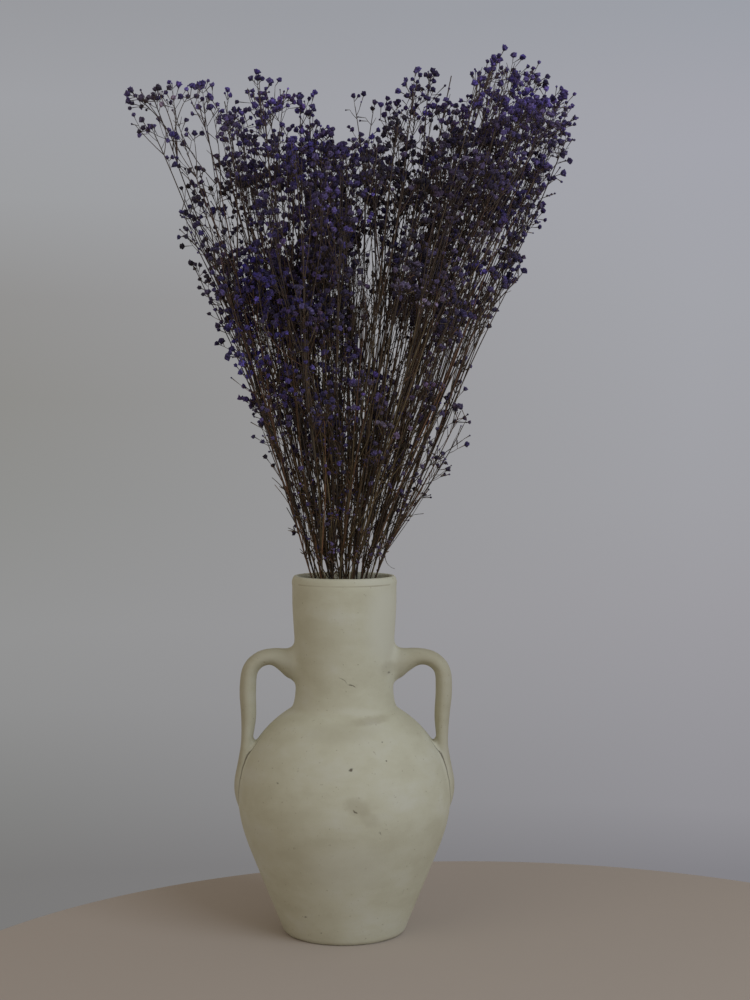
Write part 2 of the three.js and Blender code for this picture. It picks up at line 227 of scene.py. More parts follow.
def bezier(*corners, steps=16):
    """Points of a Bezier curve, without its first, by repeated blending of its corner points."""
    t = np.linspace(0, 1, steps + 1)[1:, None, None]
    rows = np.array(corners, float)[None].repeat(steps, 0)
    while rows.shape[1] > 1:
        rows = rows[:, :-1] * (1 - t) + rows[:, 1:] * t
    return rows[:, 0]


def body_profile():
    """The outline of half the body as (radius, height) points, from under the foot up and over
    the lip to the floor inside, and how many of them lie outside. A curve starts and ends at a
    named place, and the corner points between pull it to the shape of the wall."""
    under_foot = (FOOT_RADIUS - FOOT_CHAMFER, 0)
    belly = (BELLY_RADIUS, BELLY_HEIGHT)
    belly_inside = (BELLY_RADIUS - WALL, BELLY_HEIGHT)
    neck = (NECK_RADIUS, NECK_HEIGHT)
    collar = (MOUTH_RADIUS, COLLAR_HEIGHT)
    mouth = (MOUTH_RADIUS, VASE_TOP - LIP_ROUNDING)
    mouth_inside = (MOUTH_RADIUS - WALL, VASE_TOP - LIP_ROUNDING)
    lip = (MOUTH_RADIUS - WALL / 2, VASE_TOP)
    outside = [
        [[1, 0], under_foot],
        bezier(under_foot, (FOOT_RADIUS, 0), FLARE_START, steps=3),
        bezier(FLARE_START, FLARE_TOP, steps=20),
        bezier(FLARE_TOP, (82.5, 79), (BELLY_RADIUS, 96), belly),
        bezier(belly, (BELLY_RADIUS, 126), (84.2, 164.6), neck, steps=28),
        bezier(neck, (36.8, 201), (MOUTH_RADIUS, 259.5), collar, steps=24),
        bezier(collar, mouth, steps=4),
    ]
    over_and_inside = [
        bezier(mouth, (MOUTH_RADIUS, VASE_TOP), lip, steps=6),
        bezier(lip, (mouth_inside[0], VASE_TOP), mouth_inside, steps=6),
        bezier(mouth_inside, (mouth_inside[0], 254), (30.5, 205), NECK_INSIDE, steps=20),
        bezier(NECK_INSIDE, (76.5, 161), (belly_inside[0], 126), belly_inside, steps=20),
        bezier(belly_inside, FLARE_TOP_INSIDE, steps=8),
        bezier(FLARE_TOP_INSIDE, FLOOR_ROUND[0], steps=12),
        bezier(*FLOOR_ROUND, steps=3),
        [[1, FLOOR_THICKNESS]],
    ]
    return np.concatenate(outside + over_and_inside), sum(len(part) for part in outside)


def turned(profile, sides):
    """Rings round the axis: x is radius times the cosine of the angle, y times its sine."""
    angle = np.linspace(0, 2 * math.pi, sides, endpoint=False)
    radius, height = profile[:, :1], profile[:, 1:]
    rings = [radius * np.cos(angle), radius * np.sin(angle), height + 0 * angle]
    return np.stack(rings, -1)[None]


profile, outside_count = body_profile()
print("body profile:", len(profile), "points, widest", profile[:, 0].max(), "mm")

# %% Handles
# Rows give distance from the axis, height, half thickness and half width of the strap.
HANDLE = np.array([
    [38, 226, 17, 12],
    [44, 226.6, 14.6, 12],
    [50.5, 228.6, 10.4, 11],
    [60, 231.2, 7.3, 10.3],
    [71, 229, 6.6, 10],
    [79.3, 219.9, 6.8, 10],
    [81.2, 202.4, 7, 10],
    [80.6, 180.4, 6.4, 10.3],
    [82.3, 159.4, 4.7, 11],
    [84.6, 142.4, 5.0, 13.5],
    [88, 126.4, 4.6, 16],
    [87.8, 114.4, 4, 14],
    [85.4, 103.4, 2.2, 8],
])
HANDLE_BOW = {-1: 0, 1: 3}
FREE_STRETCH = (0.12, 0.68)
PRESSED_ON_BELOW = 172
PRESSED_WITHIN = 12
STRAP_SQUARENESS = {"free": 1.75, "pressed": 2.6}


def smooth_line(rows, count):
    """A Catmull-Rom curve: between two rows it is the cubic whose slopes at them are half the
    difference of the rows on either side."""
    padded = np.concatenate([2 * rows[:1] - rows[1:2], rows, 2 * rows[-1:] - rows[-2:-1]])
    place = np.linspace(0, len(rows) - 1, count)
    i = np.minimum(place.astype(int), len(rows) - 2)
    t = (place - i)[:, None]
    a, b, c, d = (padded[i + k] for k in range(4))
    return b + t * (c - a + t * (2 * a - 5 * b + 4 * c - d + t * (3 * (b - c) + d - a))) / 2


def handle_line(side, stations=110):
    """The strap's middle line with its half thickness and half width, bowed out by a half sine
    along its free stretch."""
    line = smooth_line(HANDLE, stations)
    t = np.linspace(0, 1, stations)
    start, end = FREE_STRETCH
    free = np.clip((t - start) / (end - start), 0, 1)
    line[:, 0] += HANDLE_BOW[side] * np.sin(math.pi * free)
    return line


def handle_rings(side, sides=40):
    """Strap sections square to the handle's line, from sines and cosines raised to the power
    2 / squareness: under 2 the oval comes to a soft ridge, over 2 it is fuller at its corners.
    Where the strap is pressed on, its width is bent round the body as an arc."""
    line = handle_line(side)
    slope = unit(np.gradient(line[:, :2], axis=0))
    angle = np.linspace(0, 2 * math.pi, sides, endpoint=False)
    pressed = np.clip((PRESSED_ON_BELOW - line[:, 1:2]) / PRESSED_WITHIN, 0, 1)
    pressed[: len(pressed) // 2] = 0
    free, held = STRAP_SQUARENESS["free"], STRAP_SQUARENESS["pressed"]
    power = 2 / (free + (held - free) * pressed)
    full = [np.sign(wave) * np.abs(wave) ** power for wave in (np.cos(angle), np.sin(angle))]
    x = line[:, :1] + slope[:, 1:] * line[:, 2:3] * full[0]
    z = line[:, 1:2] - slope[:, :1] * line[:, 2:3] * full[0]
    y = line[:, 3:] * full[1]
    arc = y / line[:, :1]
    y = y + pressed * (x * np.sin(arc) - y)
    x = x * (1 - pressed * (1 - np.cos(arc)))
    return np.stack([side * x, side * y, z], -1)[None]


handles = {side: handle_rings(side) for side in (-1, 1)}
print("handles reach x =", [round(float(side * np.abs(rings[..., 0]).max()), 1)
                            for side, rings in handles.items()])

# %% One skin, relaxed at the joints
VOXEL = 2.2
# The whole skin is relaxed a little, and the joints within their reach much more.
SKIN_WEIGHT = 0.6
SKIN_ROUNDS = 2
JOINT_REACH = 7
JOINT_ROUNDS = 18
# Handles are looked for only this far from the axis, and every few stations of their line.
HANDLES_FROM = 25
STATION_STEP = 3
# Stands for a distance that is too long to matter.
FAR = 50.0


def remeshed(rough, voxel):
    """The object's mesh as one closed skin of squares about a voxel wide, in millimetres."""
    remesh = rough.modifiers.new("one skin", "REMESH")
    remesh.mode = "VOXEL"
    remesh.voxel_size = voxel * MM
    evaluated = rough.evaluated_get(bpy.context.evaluated_depsgraph_get())
    mesh = bpy.data.meshes.new_from_object(evaluated)
    points = np.zeros(len(mesh.vertices) * 3, np.float32)
    mesh.vertices.foreach_get("co", points)
    edges = np.zeros(len(mesh.edges) * 2, np.int32)
    mesh.edges.foreach_get("vertices", edges)
    return mesh, points.reshape(-1, 3).astype(float) / MM, edges.reshape(-1, 2)


def relaxed(points, edges, weight, rounds):
    """Each round moves a point towards the mean of its neighbours, by half its weight."""
    count = np.bincount(edges.ravel(), minlength=len(points))[:, None]
    for _ in range(rounds):
        total = np.stack([
            np.bincount(edges[:, 0], points[edges[:, 1], k], len(points))
            + np.bincount(edges[:, 1], points[edges[:, 0], k], len(points))
            for k in range(3)
        ], -1)
        points = points + 0.5 * weight[:, None] * (total / count - points)
    return points


def distance_to_line(points, line):
    """The distance from each point to the nearest of a line's points, less that one's girth."""
    gaps = np.linalg.norm(points[:, None] - line[None, :, :3], axis=-1) - line[None, :, 3]
    return gaps.min(1)


rough = mesh_object("vase_rough", *joined([skin(turned(profile, BODY_SIDES))]
                                          + [skin(rings) for rings in handles.values()]))
vase_mesh, points, edges = remeshed(rough, VOXEL)
bpy.data.objects.remove(rough)
points = relaxed(points, edges, np.full(len(points), SKIN_WEIGHT), SKIN_ROUNDS)

radius = np.hypot(points[:, 0], points[:, 1])
outer = profile[:outside_count]
body_radius = np.interp(points[:, 2], outer[:, 1], outer[:, 0])
off_body = np.abs(radius - body_radius)
off_handle = np.full(len(points), FAR)
for side, rings in handles.items():
    middle = rings[0].mean(1)
    girth = np.linalg.norm(rings[0] - middle[:, None], axis=-1).min(1, keepdims=True)
    near = side * points[:, 0] > HANDLES_FROM
    line = np.hstack([middle, girth])[::STATION_STEP]
    off_handle[near] = distance_to_line(points[near], line)
joint = np.exp(-((np.maximum(off_body, np.maximum(off_handle, 0)) / JOINT_REACH) ** 2))
joint *= np.clip((points[:, 2] - PRESSED_ON_BELOW) / PRESSED_WITHIN, 0, 1)
points = relaxed(points, edges, joint, JOINT_ROUNDS)
print("vase skin:", len(points), "points,", len(vase_mesh.polygons), "faces")

# %% [markdown]
# The tails of the handles are pressed onto the belly and not smoothed in, so a small step runs
# round each of them, and its shade shows as a thin dark seam. The seam is narrower than the
# squares of the skin, so each point stores how far it is from the seam, and the slip paints that
# shade as a line where that distance is nothing. Each point also stores how far it stands out on
# a handle, where the slip is painted darker as shade.

# %% Seam and handle shade
SEAM_STATIONS = 90
STEEPEST_EDGE = 3
# The seam goes on this far below the strap's last row.
SEAM_BELOW_TAIL = 3
# A point that stands out this far is wholly on a handle.
ON_HANDLE_FROM = 6


def seam_distance(points, side):
    """How far points lie outside the edge of a pressed-on tail, in millimetres.

    The strap's outer face stands at middle + thickness * (1 - (arc / width) to the power n) to
    the power 1 / n. Its edge is the arc where that equals the radius of the body, and the
    distance is the point's own arc less that, divided by the steepness of the edge.
    """
    line = handle_line(side)[::-1]
    line = line[: len(line) // 2]
    heights = np.linspace(line[0, 1], PRESSED_ON_BELOW, SEAM_STATIONS)
    middle, thickness, width = (np.interp(heights, line[:, 1], line[:, k]) for k in (0, 2, 3))
    body = np.interp(heights, outer[:, 1], outer[:, 0])
    power = STRAP_SQUARENESS["pressed"]
    sunk = np.clip((body - middle) / thickness, 0, 1)
    edge = width * (1 - sunk**power) ** (1 / power)
    slope = np.clip(np.gradient(edge, heights), -STEEPEST_EDGE, STEEPEST_EDGE)
    arc = np.abs(np.arctan2(points[:, 1], side * points[:, 0])) * body_radius
    found = arc - np.interp(points[:, 2], heights, edge)
    found /= np.interp(points[:, 2], heights, np.hypot(1, slope))
    near = (points[:, 2] > heights[0] - SEAM_BELOW_TAIL) & (points[:, 2] < PRESSED_ON_BELOW)
    return np.where(near & (radius > body_radius - WALL / 2), found, FAR)


def stored(mesh, name, values):
    """Stores a number for each point of a mesh."""
    attribute = mesh.attributes.new(name, "FLOAT", "POINT")
    attribute.data.foreach_set("value", values.astype(np.float32))


seam = np.where(points[:, 0] > 0, seam_distance(points, 1), seam_distance(points, -1))
stands_out = np.clip((radius - body_radius) / ON_HANDLE_FROM, 0, 1)
stored(vase_mesh, "seam", seam)
stored(vase_mesh, "on_handle", stands_out)
print("points within a millimetre of a seam:", int((np.abs(seam) < 1).sum()))

# %% [markdown]
# A wheel leaves faint rings up the wall and a body that is never perfectly round. These are
# real relief, though only some hundredths of a millimetre, so that the light breaks softly. The
# rings are one spiral, and slow sine waves up and round the body keep them uneven.

# %% Throwing rings
RING_SPACING = 7.5
RING_RELIEF = 0.035
OUT_OF_ROUND = 0.35
# Rings fade within this distance of the body's own wall, and keep clear of the foot and the lip.
THROWN_WITHIN = 2.5
CLEAR_OF_FOOT = 3
CLEAR_OF_LIP = 8
# The body is round at the foot and out of round from this height.
ROUND_BELOW = 30

angle = np.arctan2(points[:, 1], points[:, 0])
height = points[:, 2]
thrown = np.exp(-((off_body / THROWN_WITHIN) ** 2))
thrown *= (height > CLEAR_OF_FOOT) & (height < VASE_TOP - CLEAR_OF_LIP)
spiral = 2 * math.pi * height / RING_SPACING + angle
swell = 0.6 + 0.4 * np.sin(height / 17 + 1.3 * np.sin(angle + 0.8))
ripple = RING_RELIEF * swell * np.sin(spiral + 0.7 * np.sin(height / 23))
wander = OUT_OF_ROUND * np.sin(2 * angle + height / 60) * np.clip(height / ROUND_BELOW, 0, 1)
outwards = np.stack([np.cos(angle), np.sin(angle), 0 * angle], -1)
points = points + outwards * (thrown * (ripple + wander))[:, None]
points[:, 2] = np.maximum(points[:, 2], 0)
vase_mesh.vertices.foreach_set("co", (points * MM).astype(np.float32).ravel())
vase_mesh.polygons.foreach_set("use_smooth", np.ones(len(vase_mesh.polygons), bool))
vase_mesh.materials.clear()
vase_mesh.name = "two_handled_vase"
vase = placed("two_handled_vase", vase_mesh)
print("throwing rings of", RING_RELIEF, "mm,", round(float(thrown.mean()), 2), "of the points move")

# %% [markdown]
# ## Finish of the vase: matt cream slip on earthenware
# Some layers are painted light and shade: a highlight on the neck, light and shade at the shoulder's
# fold, shade in the lip's crease and along the seams, and darker handles.
#
# The clay is low fired and covered with a thin pale slip, left unglazed. Such a surface has
# almost no gloss. Its colour drifts between cream and a greyer, yellower stone tone over a few
# centimetres, fine grit shows as specks, and handling has left smudges and scratches. So the
# material is a base colour with layers over it, each a tone and a mask that says where it shows.
# Pattern sizes are in millimetres, and the nodes read Object coordinates, which are metres here.

# %% Tone of the slip
SLIP = {"cream": "cecdb8", "stone": "c7c5af", "pale": "d3d3c3", "dirt_and_shade": "8c8064", "speck_and_shade": "4a3f30"}
PATCH_MM = 45
BAND_MM = 16
# Real grit is finer, and is drawn as coarse as it needs to be to show.
GRIT_MM = 2.6
# How many times wider than high the patches and the brushed bands are.
PATCH_FLATNESS = 1.8
BAND_FLATNESS = 6
PATCH_TONES = [(0.36, SLIP["stone"]), (0.5, SLIP["cream"]), (0.66, SLIP["pale"])]
# The values of a noise where its layer starts to show and shows most, and how much that is.
BANDS_SHOW = (0.42, 0.72, 0.4)
GRIT_SHOWS = (0.69, 0.76, 0.5)


def slip_tone(tree, place):
    """The slip's base colour, picked by a noise of broad flat patches, and two layers: brushed
    bands of the stone tone and dirt-coloured grit. Returns them and the two coarser noises."""
    broad = add(tree, "ShaderNodeMapping", {"Vector": place, "Scale": (1, 1, PATCH_FLATNESS)})
    patches = add(tree, "ShaderNodeTexNoise", {
        "Vector": broad.outputs["Vector"], "Scale": 1 / (PATCH_MM * MM), "Detail": 5.0,
        "Roughness": 0.6}).outputs["Fac"]
    colour = add(tree, "ShaderNodeValToRGB", {"Fac": patches}, PATCH_TONES).outputs["Color"]
    flat = add(tree, "ShaderNodeMapping", {"Vector": place, "Scale": (1, 1, BAND_FLATNESS)})
    bands = add(tree, "ShaderNodeTexNoise", {
        "Vector": flat.outputs["Vector"], "Scale": 1 / (BAND_MM * MM * BAND_FLATNESS),
        "Detail": 6.0}).outputs["Fac"]
    grit = add(tree, "ShaderNodeTexNoise", {
        "Vector": place, "Scale": 1 / (GRIT_MM * MM), "Detail": 2.0}).outputs["Fac"]
    layers = []
    for name, noise, (start, full, most) in (("stone", bands, BANDS_SHOW), ("dirt_and_shade", grit, GRIT_SHOWS)):
        shown = add(tree, "ShaderNodeMapRange", {
            "Value": noise, "From Min": start, "From Max": full, "To Max": most})
        layers.append((name, shown.outputs["Result"]))
    return colour, layers, patches, bands


print("slip patches of", PATCH_MM, "mm, bands of", BAND_MM, "mm and grit of", GRIT_MM, "mm")

# %% Marks on the front
# Each mark on the front: its tone, distance right of the axis, height, reach along both, how far
# it is tipped in degrees, and how strongly it shows. All lengths in millimetres.
MARKS = [
    ("dirt_and_shade", 10, 122, 14, 9, -20, 0.25),
    ("dirt_and_shade", 20, 112, 12, 8, -35, 0.18),
    # A painted highlight on the lit right of the neck.
    ("pale", 36, 262, 26, 50, 0, 0.9),
    ("pale", 4, 70, 44, 30, 0, 0.5),
    # Painted light and shade of a shallow fold at the shoulder: a pale painted highlight above it and
    # two ovals of painted shade below it.
    ("pale", 12, 190.5, 26, 5, -6, 0.5),
    ("dirt_and_shade", 21, 184, 21, 4, 3, 0.27),
    ("dirt_and_shade", -2, 176, 38, 10, 3, 0.13),
    ("dirt_and_shade", 36, 224, 10, 8, 20, 0.2),
    ("speck_and_shade", 8.5, 118.4, 2.8, 0.7, -30, 0.7),
    ("speck_and_shade", 28.4, 100, 2.2, 0.8, -60, 0.45),
    ("speck_and_shade", 5.3, 150.2, 2.4, 1.1, 30, 0.8),
    ("speck_and_shade", 33.5, 155.5, 1.2, 1.0, 0, 0.7),
    ("speck_and_shade", 30.5, 169.1, 0.9, 0.9, 0, 0.5),
    ("speck_and_shade", -53.4, 137, 1.1, 1.1, 0, 0.5),
    ("speck_and_shade", -31.5, 24.4, 1.6, 0.9, 0, 0.6),
    ("speck_and_shade", -18.7, 11.2, 1.2, 0.9, 0, 0.6),
    ("speck_and_shade", -1.2, 216.8, 5, 0.55, -40, 0.55),
    ("speck_and_shade", 6.3, 212, 4.6, 0.6, -28, 0.75),
    ("speck_and_shade", 37, 220, 1.6, 1.4, 0, 0.5),
]
MARK_EDGE_FROM = 0.35
# Marks get an uneven outline from a noise of this size that shifts them by up to half this reach.
SHIVER_MM = 4
SHIVER_REACH_MM = 3
# Only what lies further forward than this carries marks.
FRONT_MM = -5


def mark_mask(tree, place, x, z, reach, tall, tip):
    """1 at the middle of a tipped oval and 0 outside it.

    The place is centred on the oval, turned by its tip and divided by its reach, so the length
    of what is left is 1 on the oval's edge.
    """
    centred = add(tree, "ShaderNodeVectorMath", {0: place, 1: (-x * MM, 0, -z * MM)})
    turned_back = add(tree, "ShaderNodeVectorRotate", {
        "Vector": centred.outputs["Vector"], "Axis": (0, 1, 0), "Angle": math.radians(tip)})
    scaled = add(tree, "ShaderNodeVectorMath", {
        0: turned_back.outputs["Vector"], 1: (1 / (reach * MM), 0, 1 / (tall * MM))},
        operation="MULTIPLY")
    length = add(tree, "ShaderNodeVectorMath", {0: scaled.outputs["Vector"]}, operation="LENGTH")
    return add(tree, "ShaderNodeMapRange", {
        "Value": length.outputs["Value"], "From Min": MARK_EDGE_FROM, "From Max": 1.0,
        "To Min": 1.0, "To Max": 0.0}, interpolation_type="SMOOTHSTEP").outputs["Result"]


def mark_layers(tree, place, depth):
    """A layer for each mark: its mask, times 1 on the front, times the mark's strength."""
    shiver = add(tree, "ShaderNodeTexNoise", {"Vector": place, "Scale": 1 / (SHIVER_MM * MM)})
    shift = add(tree, "ShaderNodeVectorMath", {0: shiver.outputs["Color"], 1: (0.5,) * 3},
                operation="SUBTRACT")
    shift = add(tree, "ShaderNodeVectorMath", {
        0: shift.outputs["Vector"], 1: (SHIVER_REACH_MM * MM,) * 3}, operation="MULTIPLY")
    wobbly = add(tree, "ShaderNodeVectorMath", {0: place, 1: shift.outputs["Vector"]})
    front = add(tree, "ShaderNodeMath", {0: depth, 1: FRONT_MM * MM}, operation="LESS_THAN")
    layers = []
    for name, x, z, reach, tall, tip, strength in MARKS:
        shown = mark_mask(tree, wobbly.outputs["Vector"], x, z, reach, tall, tip)
        for factor in (front.outputs["Value"], strength):
            shown = add(tree, "ShaderNodeMath", {0: shown, 1: factor}, operation="MULTIPLY")
            shown = shown.outputs["Value"]
        layers.append((name, shown))
    return layers


print("marks on the slip:", len(MARKS))

# %% [markdown]
# Two dark lines are finer than the skin's squares, so the material paints them, both as shade. A
# short line of painted crease shade runs level just under the lip, broken up where the patches'
# noise is low. The seams' painted shade follows the distance that each point stores: faint at the
# end of the tail, darker higher up, and gone before the strap leaves the body.

# %% Lip crease and seams
LIP_CREASE_HEIGHT = 293.5
LIP_CREASE_HALF_WIDTH = 0.5
LIP_CREASE_REACH = 38
LIP_CREASE_NOISE = (0.4, 0.6)
LIP_CREASE_SHOWS = (0.1, 0.5)
# Each row: from and to in millimetres, and how much the seam's painted shade and groove show at both.
SEAM_BY_HEIGHT = (105, 158, 0.3, 0.8)
SEAM_ENDS = (162, 168, 1.0, 0.0)
SEAM_BY_DISTANCE = (0.1, 0.6, 1.0, 0.0)


def lip_crease_shade(tree, axes, patches):
    """The crease's mask: 1 near its height, times its share by the patches, times 1 within reach."""
    level = add(tree, "ShaderNodeMath", {
        0: axes["Z"], 1: LIP_CREASE_HEIGHT * MM, 2: LIP_CREASE_HALF_WIDTH * MM},
        operation="COMPARE")
    broken = add(tree, "ShaderNodeMapRange", {
        "Value": patches, "From Min": LIP_CREASE_NOISE[0], "From Max": LIP_CREASE_NOISE[1],
        "To Min": LIP_CREASE_SHOWS[0], "To Max": LIP_CREASE_SHOWS[1]})
    short = add(tree, "ShaderNodeMath", {0: axes["X"], 1: 0.0, 2: LIP_CREASE_REACH * MM},
                operation="COMPARE")
    shown = level.outputs["Value"]
    for factor in (broken.outputs["Result"], short.outputs["Value"]):
        shown = add(tree, "ShaderNodeMath", {0: shown, 1: factor}, operation="MULTIPLY")
        shown = shown.outputs["Value"]
    return shown


# The seam's dark line is painted shade of the step at the tail's edge; the same mask is its groove.
def seam_shade_line(tree, height):
    """The seam's mask: the product of three slopes, two by height and one by distance."""
    seam = add(tree, "ShaderNodeAttribute", attribute_name="seam").outputs["Fac"]
    beside = add(tree, "ShaderNodeMath", {0: seam}, operation="ABSOLUTE").outputs["Value"]
    shown = 1.0
    for value, scale, row, kind in ((height, MM, SEAM_BY_HEIGHT, "LINEAR"),
                                    (height, MM, SEAM_ENDS, "LINEAR"),
                                    (beside, 1, SEAM_BY_DISTANCE, "SMOOTHSTEP")):
        slope = add(tree, "ShaderNodeMapRange", {
            "Value": value, "From Min": row[0] * scale, "From Max": row[1] * scale,
            "To Min": row[2], "To Max": row[3]}, interpolation_type=kind)
        shown = add(tree, "ShaderNodeMath", {0: shown, 1: slope.outputs["Result"]},
                    operation="MULTIPLY").outputs["Value"]
    return shown


print("crease at", LIP_CREASE_HEIGHT, "mm, seams between", SEAM_BY_HEIGHT[0], "and", SEAM_ENDS[1])

# %% Slip material
# The real grain is a few tenths of a millimetre, and is drawn coarser so that it shows.
GRAIN_MM = 1.3
# The share by which the handles are darkened towards the dark slip tone, as painted shade.
HANDLE_SHADE_SHARE = 0.3
# How deep the seam is, as a share of the grain's relief.
SEAM_DEPTH = 2.0
GRAIN_RELIEF_MM = 0.35
GRAIN_STRENGTH = 0.35
SLIP_ROUGHNESS = (0.78, 0.95)


def slip_material():
    """Matt cream slip: the tone with its layers, a fine grain and the seams as grooves.

    The finish is brushed on and unglazed, so it is rough all over and has hardly any gloss. The
    relief is the grain plus the bands, less the seam.
    """
    material, tree, output = new_material("matt_cream_slip")
    place = add(tree, "ShaderNodeTexCoord").outputs["Object"]
    axes = add(tree, "ShaderNodeSeparateXYZ", {"Vector": place}).outputs
    colour, layers, patches, bands = slip_tone(tree, place)
    # The handles are painted darker, as shade.
    on_handle = add(tree, "ShaderNodeAttribute", attribute_name="on_handle").outputs["Fac"]
    handle_shade = add(tree, "ShaderNodeMath", {0: on_handle, 1: HANDLE_SHADE_SHARE}, operation="MULTIPLY")
    seam = seam_shade_line(tree, axes["Z"])
    layers += mark_layers(tree, place, axes["Y"])
    # The crease under the lip is painted shade, in the dark slip tone.
    layers.append(("dirt_and_shade", lip_crease_shade(tree, axes, patches)))
    layers.append(("dirt_and_shade", handle_shade.outputs["Value"]))
    # The seams' painted shade, in the darkest slip tone.
    layers.append(("speck_and_shade", seam))
    for name, shown in layers:
        mixed = add(tree, "ShaderNodeMix", {
            MIX["share"]: shown, MIX["from"]: colour, MIX["to"]: linear(SLIP[name])},
            data_type="RGBA")
        colour = mixed.outputs[MIX["result"]]

    grain = add(tree, "ShaderNodeTexNoise", {
        "Vector": place, "Scale": 1 / (GRAIN_MM * MM), "Detail": 4.0, "Roughness": 0.65})
    relief = add(tree, "ShaderNodeMath", {0: grain.outputs["Fac"], 1: bands})
    relief = add(tree, "ShaderNodeMath", {0: seam, 1: -SEAM_DEPTH, 2: relief.outputs["Value"]},
                 operation="MULTIPLY_ADD")
    bump = add(tree, "ShaderNodeBump", {
        "Height": relief.outputs["Value"], "Strength": GRAIN_STRENGTH,
        "Distance": GRAIN_RELIEF_MM * MM})
    rough = add(tree, "ShaderNodeMapRange", {
        "Value": patches, "To Min": SLIP_ROUGHNESS[0], "To Max": SLIP_ROUGHNESS[1]})
    shader = add(tree, "ShaderNodeBsdfPrincipled", {
        "Base Color": colour, "Roughness": rough.outputs["Result"], "IOR": 1.48,
        "Specular IOR Level": 0.3, "Normal": bump.outputs["Normal"]})
    tree.links.new(shader.outputs["BSDF"], output.inputs["Surface"])
    return material


vase_mesh.materials.append(slip_material())
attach(vase, "root")
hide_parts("vase")
print("grain of", GRAIN_MM, "mm, roughness from", *SLIP_ROUGHNESS)

# %% [markdown]
# ## How the bunch grows
#
# Each stem was cut, pushed down the neck and left to lean on the others, so the bunch is a fan
# that is narrowest in the neck. The solids were grown by a rule, and the same rule is used here,
# so that every fine twig starts from the stem that stands in the frame. A stem has a seat in a
# disc of radius one. The disc is squeezed and turned as it passes the neck and spreads above it,
# which keeps stems apart without any of them having to be bent round another.

# %% The fan of seats
STEM_FOOT = FLOOR_THICKNESS + 0.3
GATHER_HEIGHT = 229
GATHER_RADIUS = 12
SPREAD_ACROSS = 0.434
SPREAD_DEEP = 0.26
SPREAD_INSIDE = 0.16
LEAN = 0.064
LEAN_FROM = 312
SEAT_RADIUS = 0.91
GOLDEN_ANGLE = math.pi * (3 - math.sqrt(5))
# How high the flowers reach for each seat, from the left edge at -1 to the right edge at 1.
CROWN = np.array([
    [-1.1, 470], [-1.0, 596], [-0.9, 640], [-0.8, 702], [-0.62, 714], [-0.42, 716],
    [-0.3, 700], [-0.17, 670], [0.02, 676], [0.12, 710], [0.25, 718], [0.43, 738],
    [0.55, 730], [0.7, 712], [0.86, 690], [0.94, 646], [1.0, 602], [1.1, 470],
])
CROWN_ROUNDING = 58
# The thin wing on the left: stems whose seat is left of this and close to the middle in depth bow
# out by this many millimetres at their tips.
WING = {"from": -0.66, "half_depth": 0.3, "bow": -34}


def fan(a, b, z):
    """Where the seat (a, b) lies at height z.

    Above and below the neck the disc's two half widths are the hypotenuse of the bunch's
    tightest radius and a share of the rise, and the disc turns by the arctangent of the rise.
    """
    rise = z - GATHER_HEIGHT
    across = np.hypot(GATHER_RADIUS, rise * np.where(rise > 0, SPREAD_ACROSS, SPREAD_INSIDE))
    deep = np.hypot(GATHER_RADIUS, rise * np.where(rise > 0, SPREAD_DEEP, SPREAD_INSIDE))
    turn = np.arctan(rise * SPREAD_ACROSS / GATHER_RADIUS) - math.pi / 2
    x = across * (a * np.cos(turn) - b * np.sin(turn)) + LEAN * np.maximum(z - LEAN_FROM, 0)
    y = deep * (a * np.sin(turn) + b * np.cos(turn))
    return np.stack([x, y, z + 0 * x], -1)


def seat_of(index):
    """Seats follow a sunflower spiral: the radius grows with the root of the number, and each
    seat is a golden angle round from the last."""
    distance = SEAT_RADIUS * math.sqrt((index + 0.5) / len(STEM_NODES))
    angle = index * GOLDEN_ANGLE
    return distance * math.cos(angle), distance * math.sin(angle)


def crown_height(a, b):
    """The crown's height at a seat: it falls away to the front and back with the square of b."""
    return np.interp(a, CROWN[:, 0], CROWN[:, 1]) - CROWN_ROUNDING * b * b


print("the fan at mid height spans", np.round(fan(np.array([-1, 1]), 0, 500)[:, 0], 1))

# %% [markdown]
# The rule draws its random numbers from a tiny generator, one for each stem. The draws come in a
# fixed order, so this scene gets the same stems as the solids did. Fine twigs that the solids
# don't have come from another generator, so they can't disturb that order.

# %% The rule that the solids follow
SEED = 41
BITS = 0xFFFFFFFF
# How far a stem ends below the crown and strays sideways, in millimetres.
TIP_SHORTFALL = (0, 14)
STRAY = (-5, 5)
# Each knot: the share of the reach where its twigs end, their length, whether they are forked.
KNOTS = [(0.36, 125, False), (0.63, 150, True), (0.85, 108, True)]
KNOT_SHIFT = (-0.06, 0.06)
LOWEST_KNOT = 310
# Turns are in radians, spreads of twigs in seat radii, and those of forks in millimetres.
TWIG_TURN = (-0.25, 0.25)
TWIG_END_SHIFT = (-0.045, 0.045)
TWIG_SPREAD = (0.092, 0.132)
FORK_TURN = (1.2, 2)
FORK_SPREAD = (10.2, 13.8)
FORK_RISE = (20, 30)
TOP_KNOT_BELOW_TIP = 38
LOW_TWIG_FROM = 0.76
LOW_TWIG_END = (410, 440)
LOW_TWIG_SPREAD = 0.2
PETAL_DRAWS = 5


def seeded(seed):
    """Repeatable numbers from 0 to 1: a counter whose bits are mixed by shifts and products."""
    state = seed

    def draw(least=0.0, most=1.0):
        nonlocal state
        state = (state + 0x6D2B79F5) & BITS
        mixed = ((state ^ (state >> 15)) * (state | 1)) & BITS
        product = ((mixed ^ (mixed >> 7)) * (mixed | 61)) & BITS
        mixed = ((mixed + product) & BITS) ^ mixed
        return least + (most - least) * (mixed ^ (mixed >> 14)) / 2**32

    return draw


def skipped(draw, count):
    """Passes over draws that the solids spend on sizes and petals of their own florets."""
    for _ in range(count):
        draw()


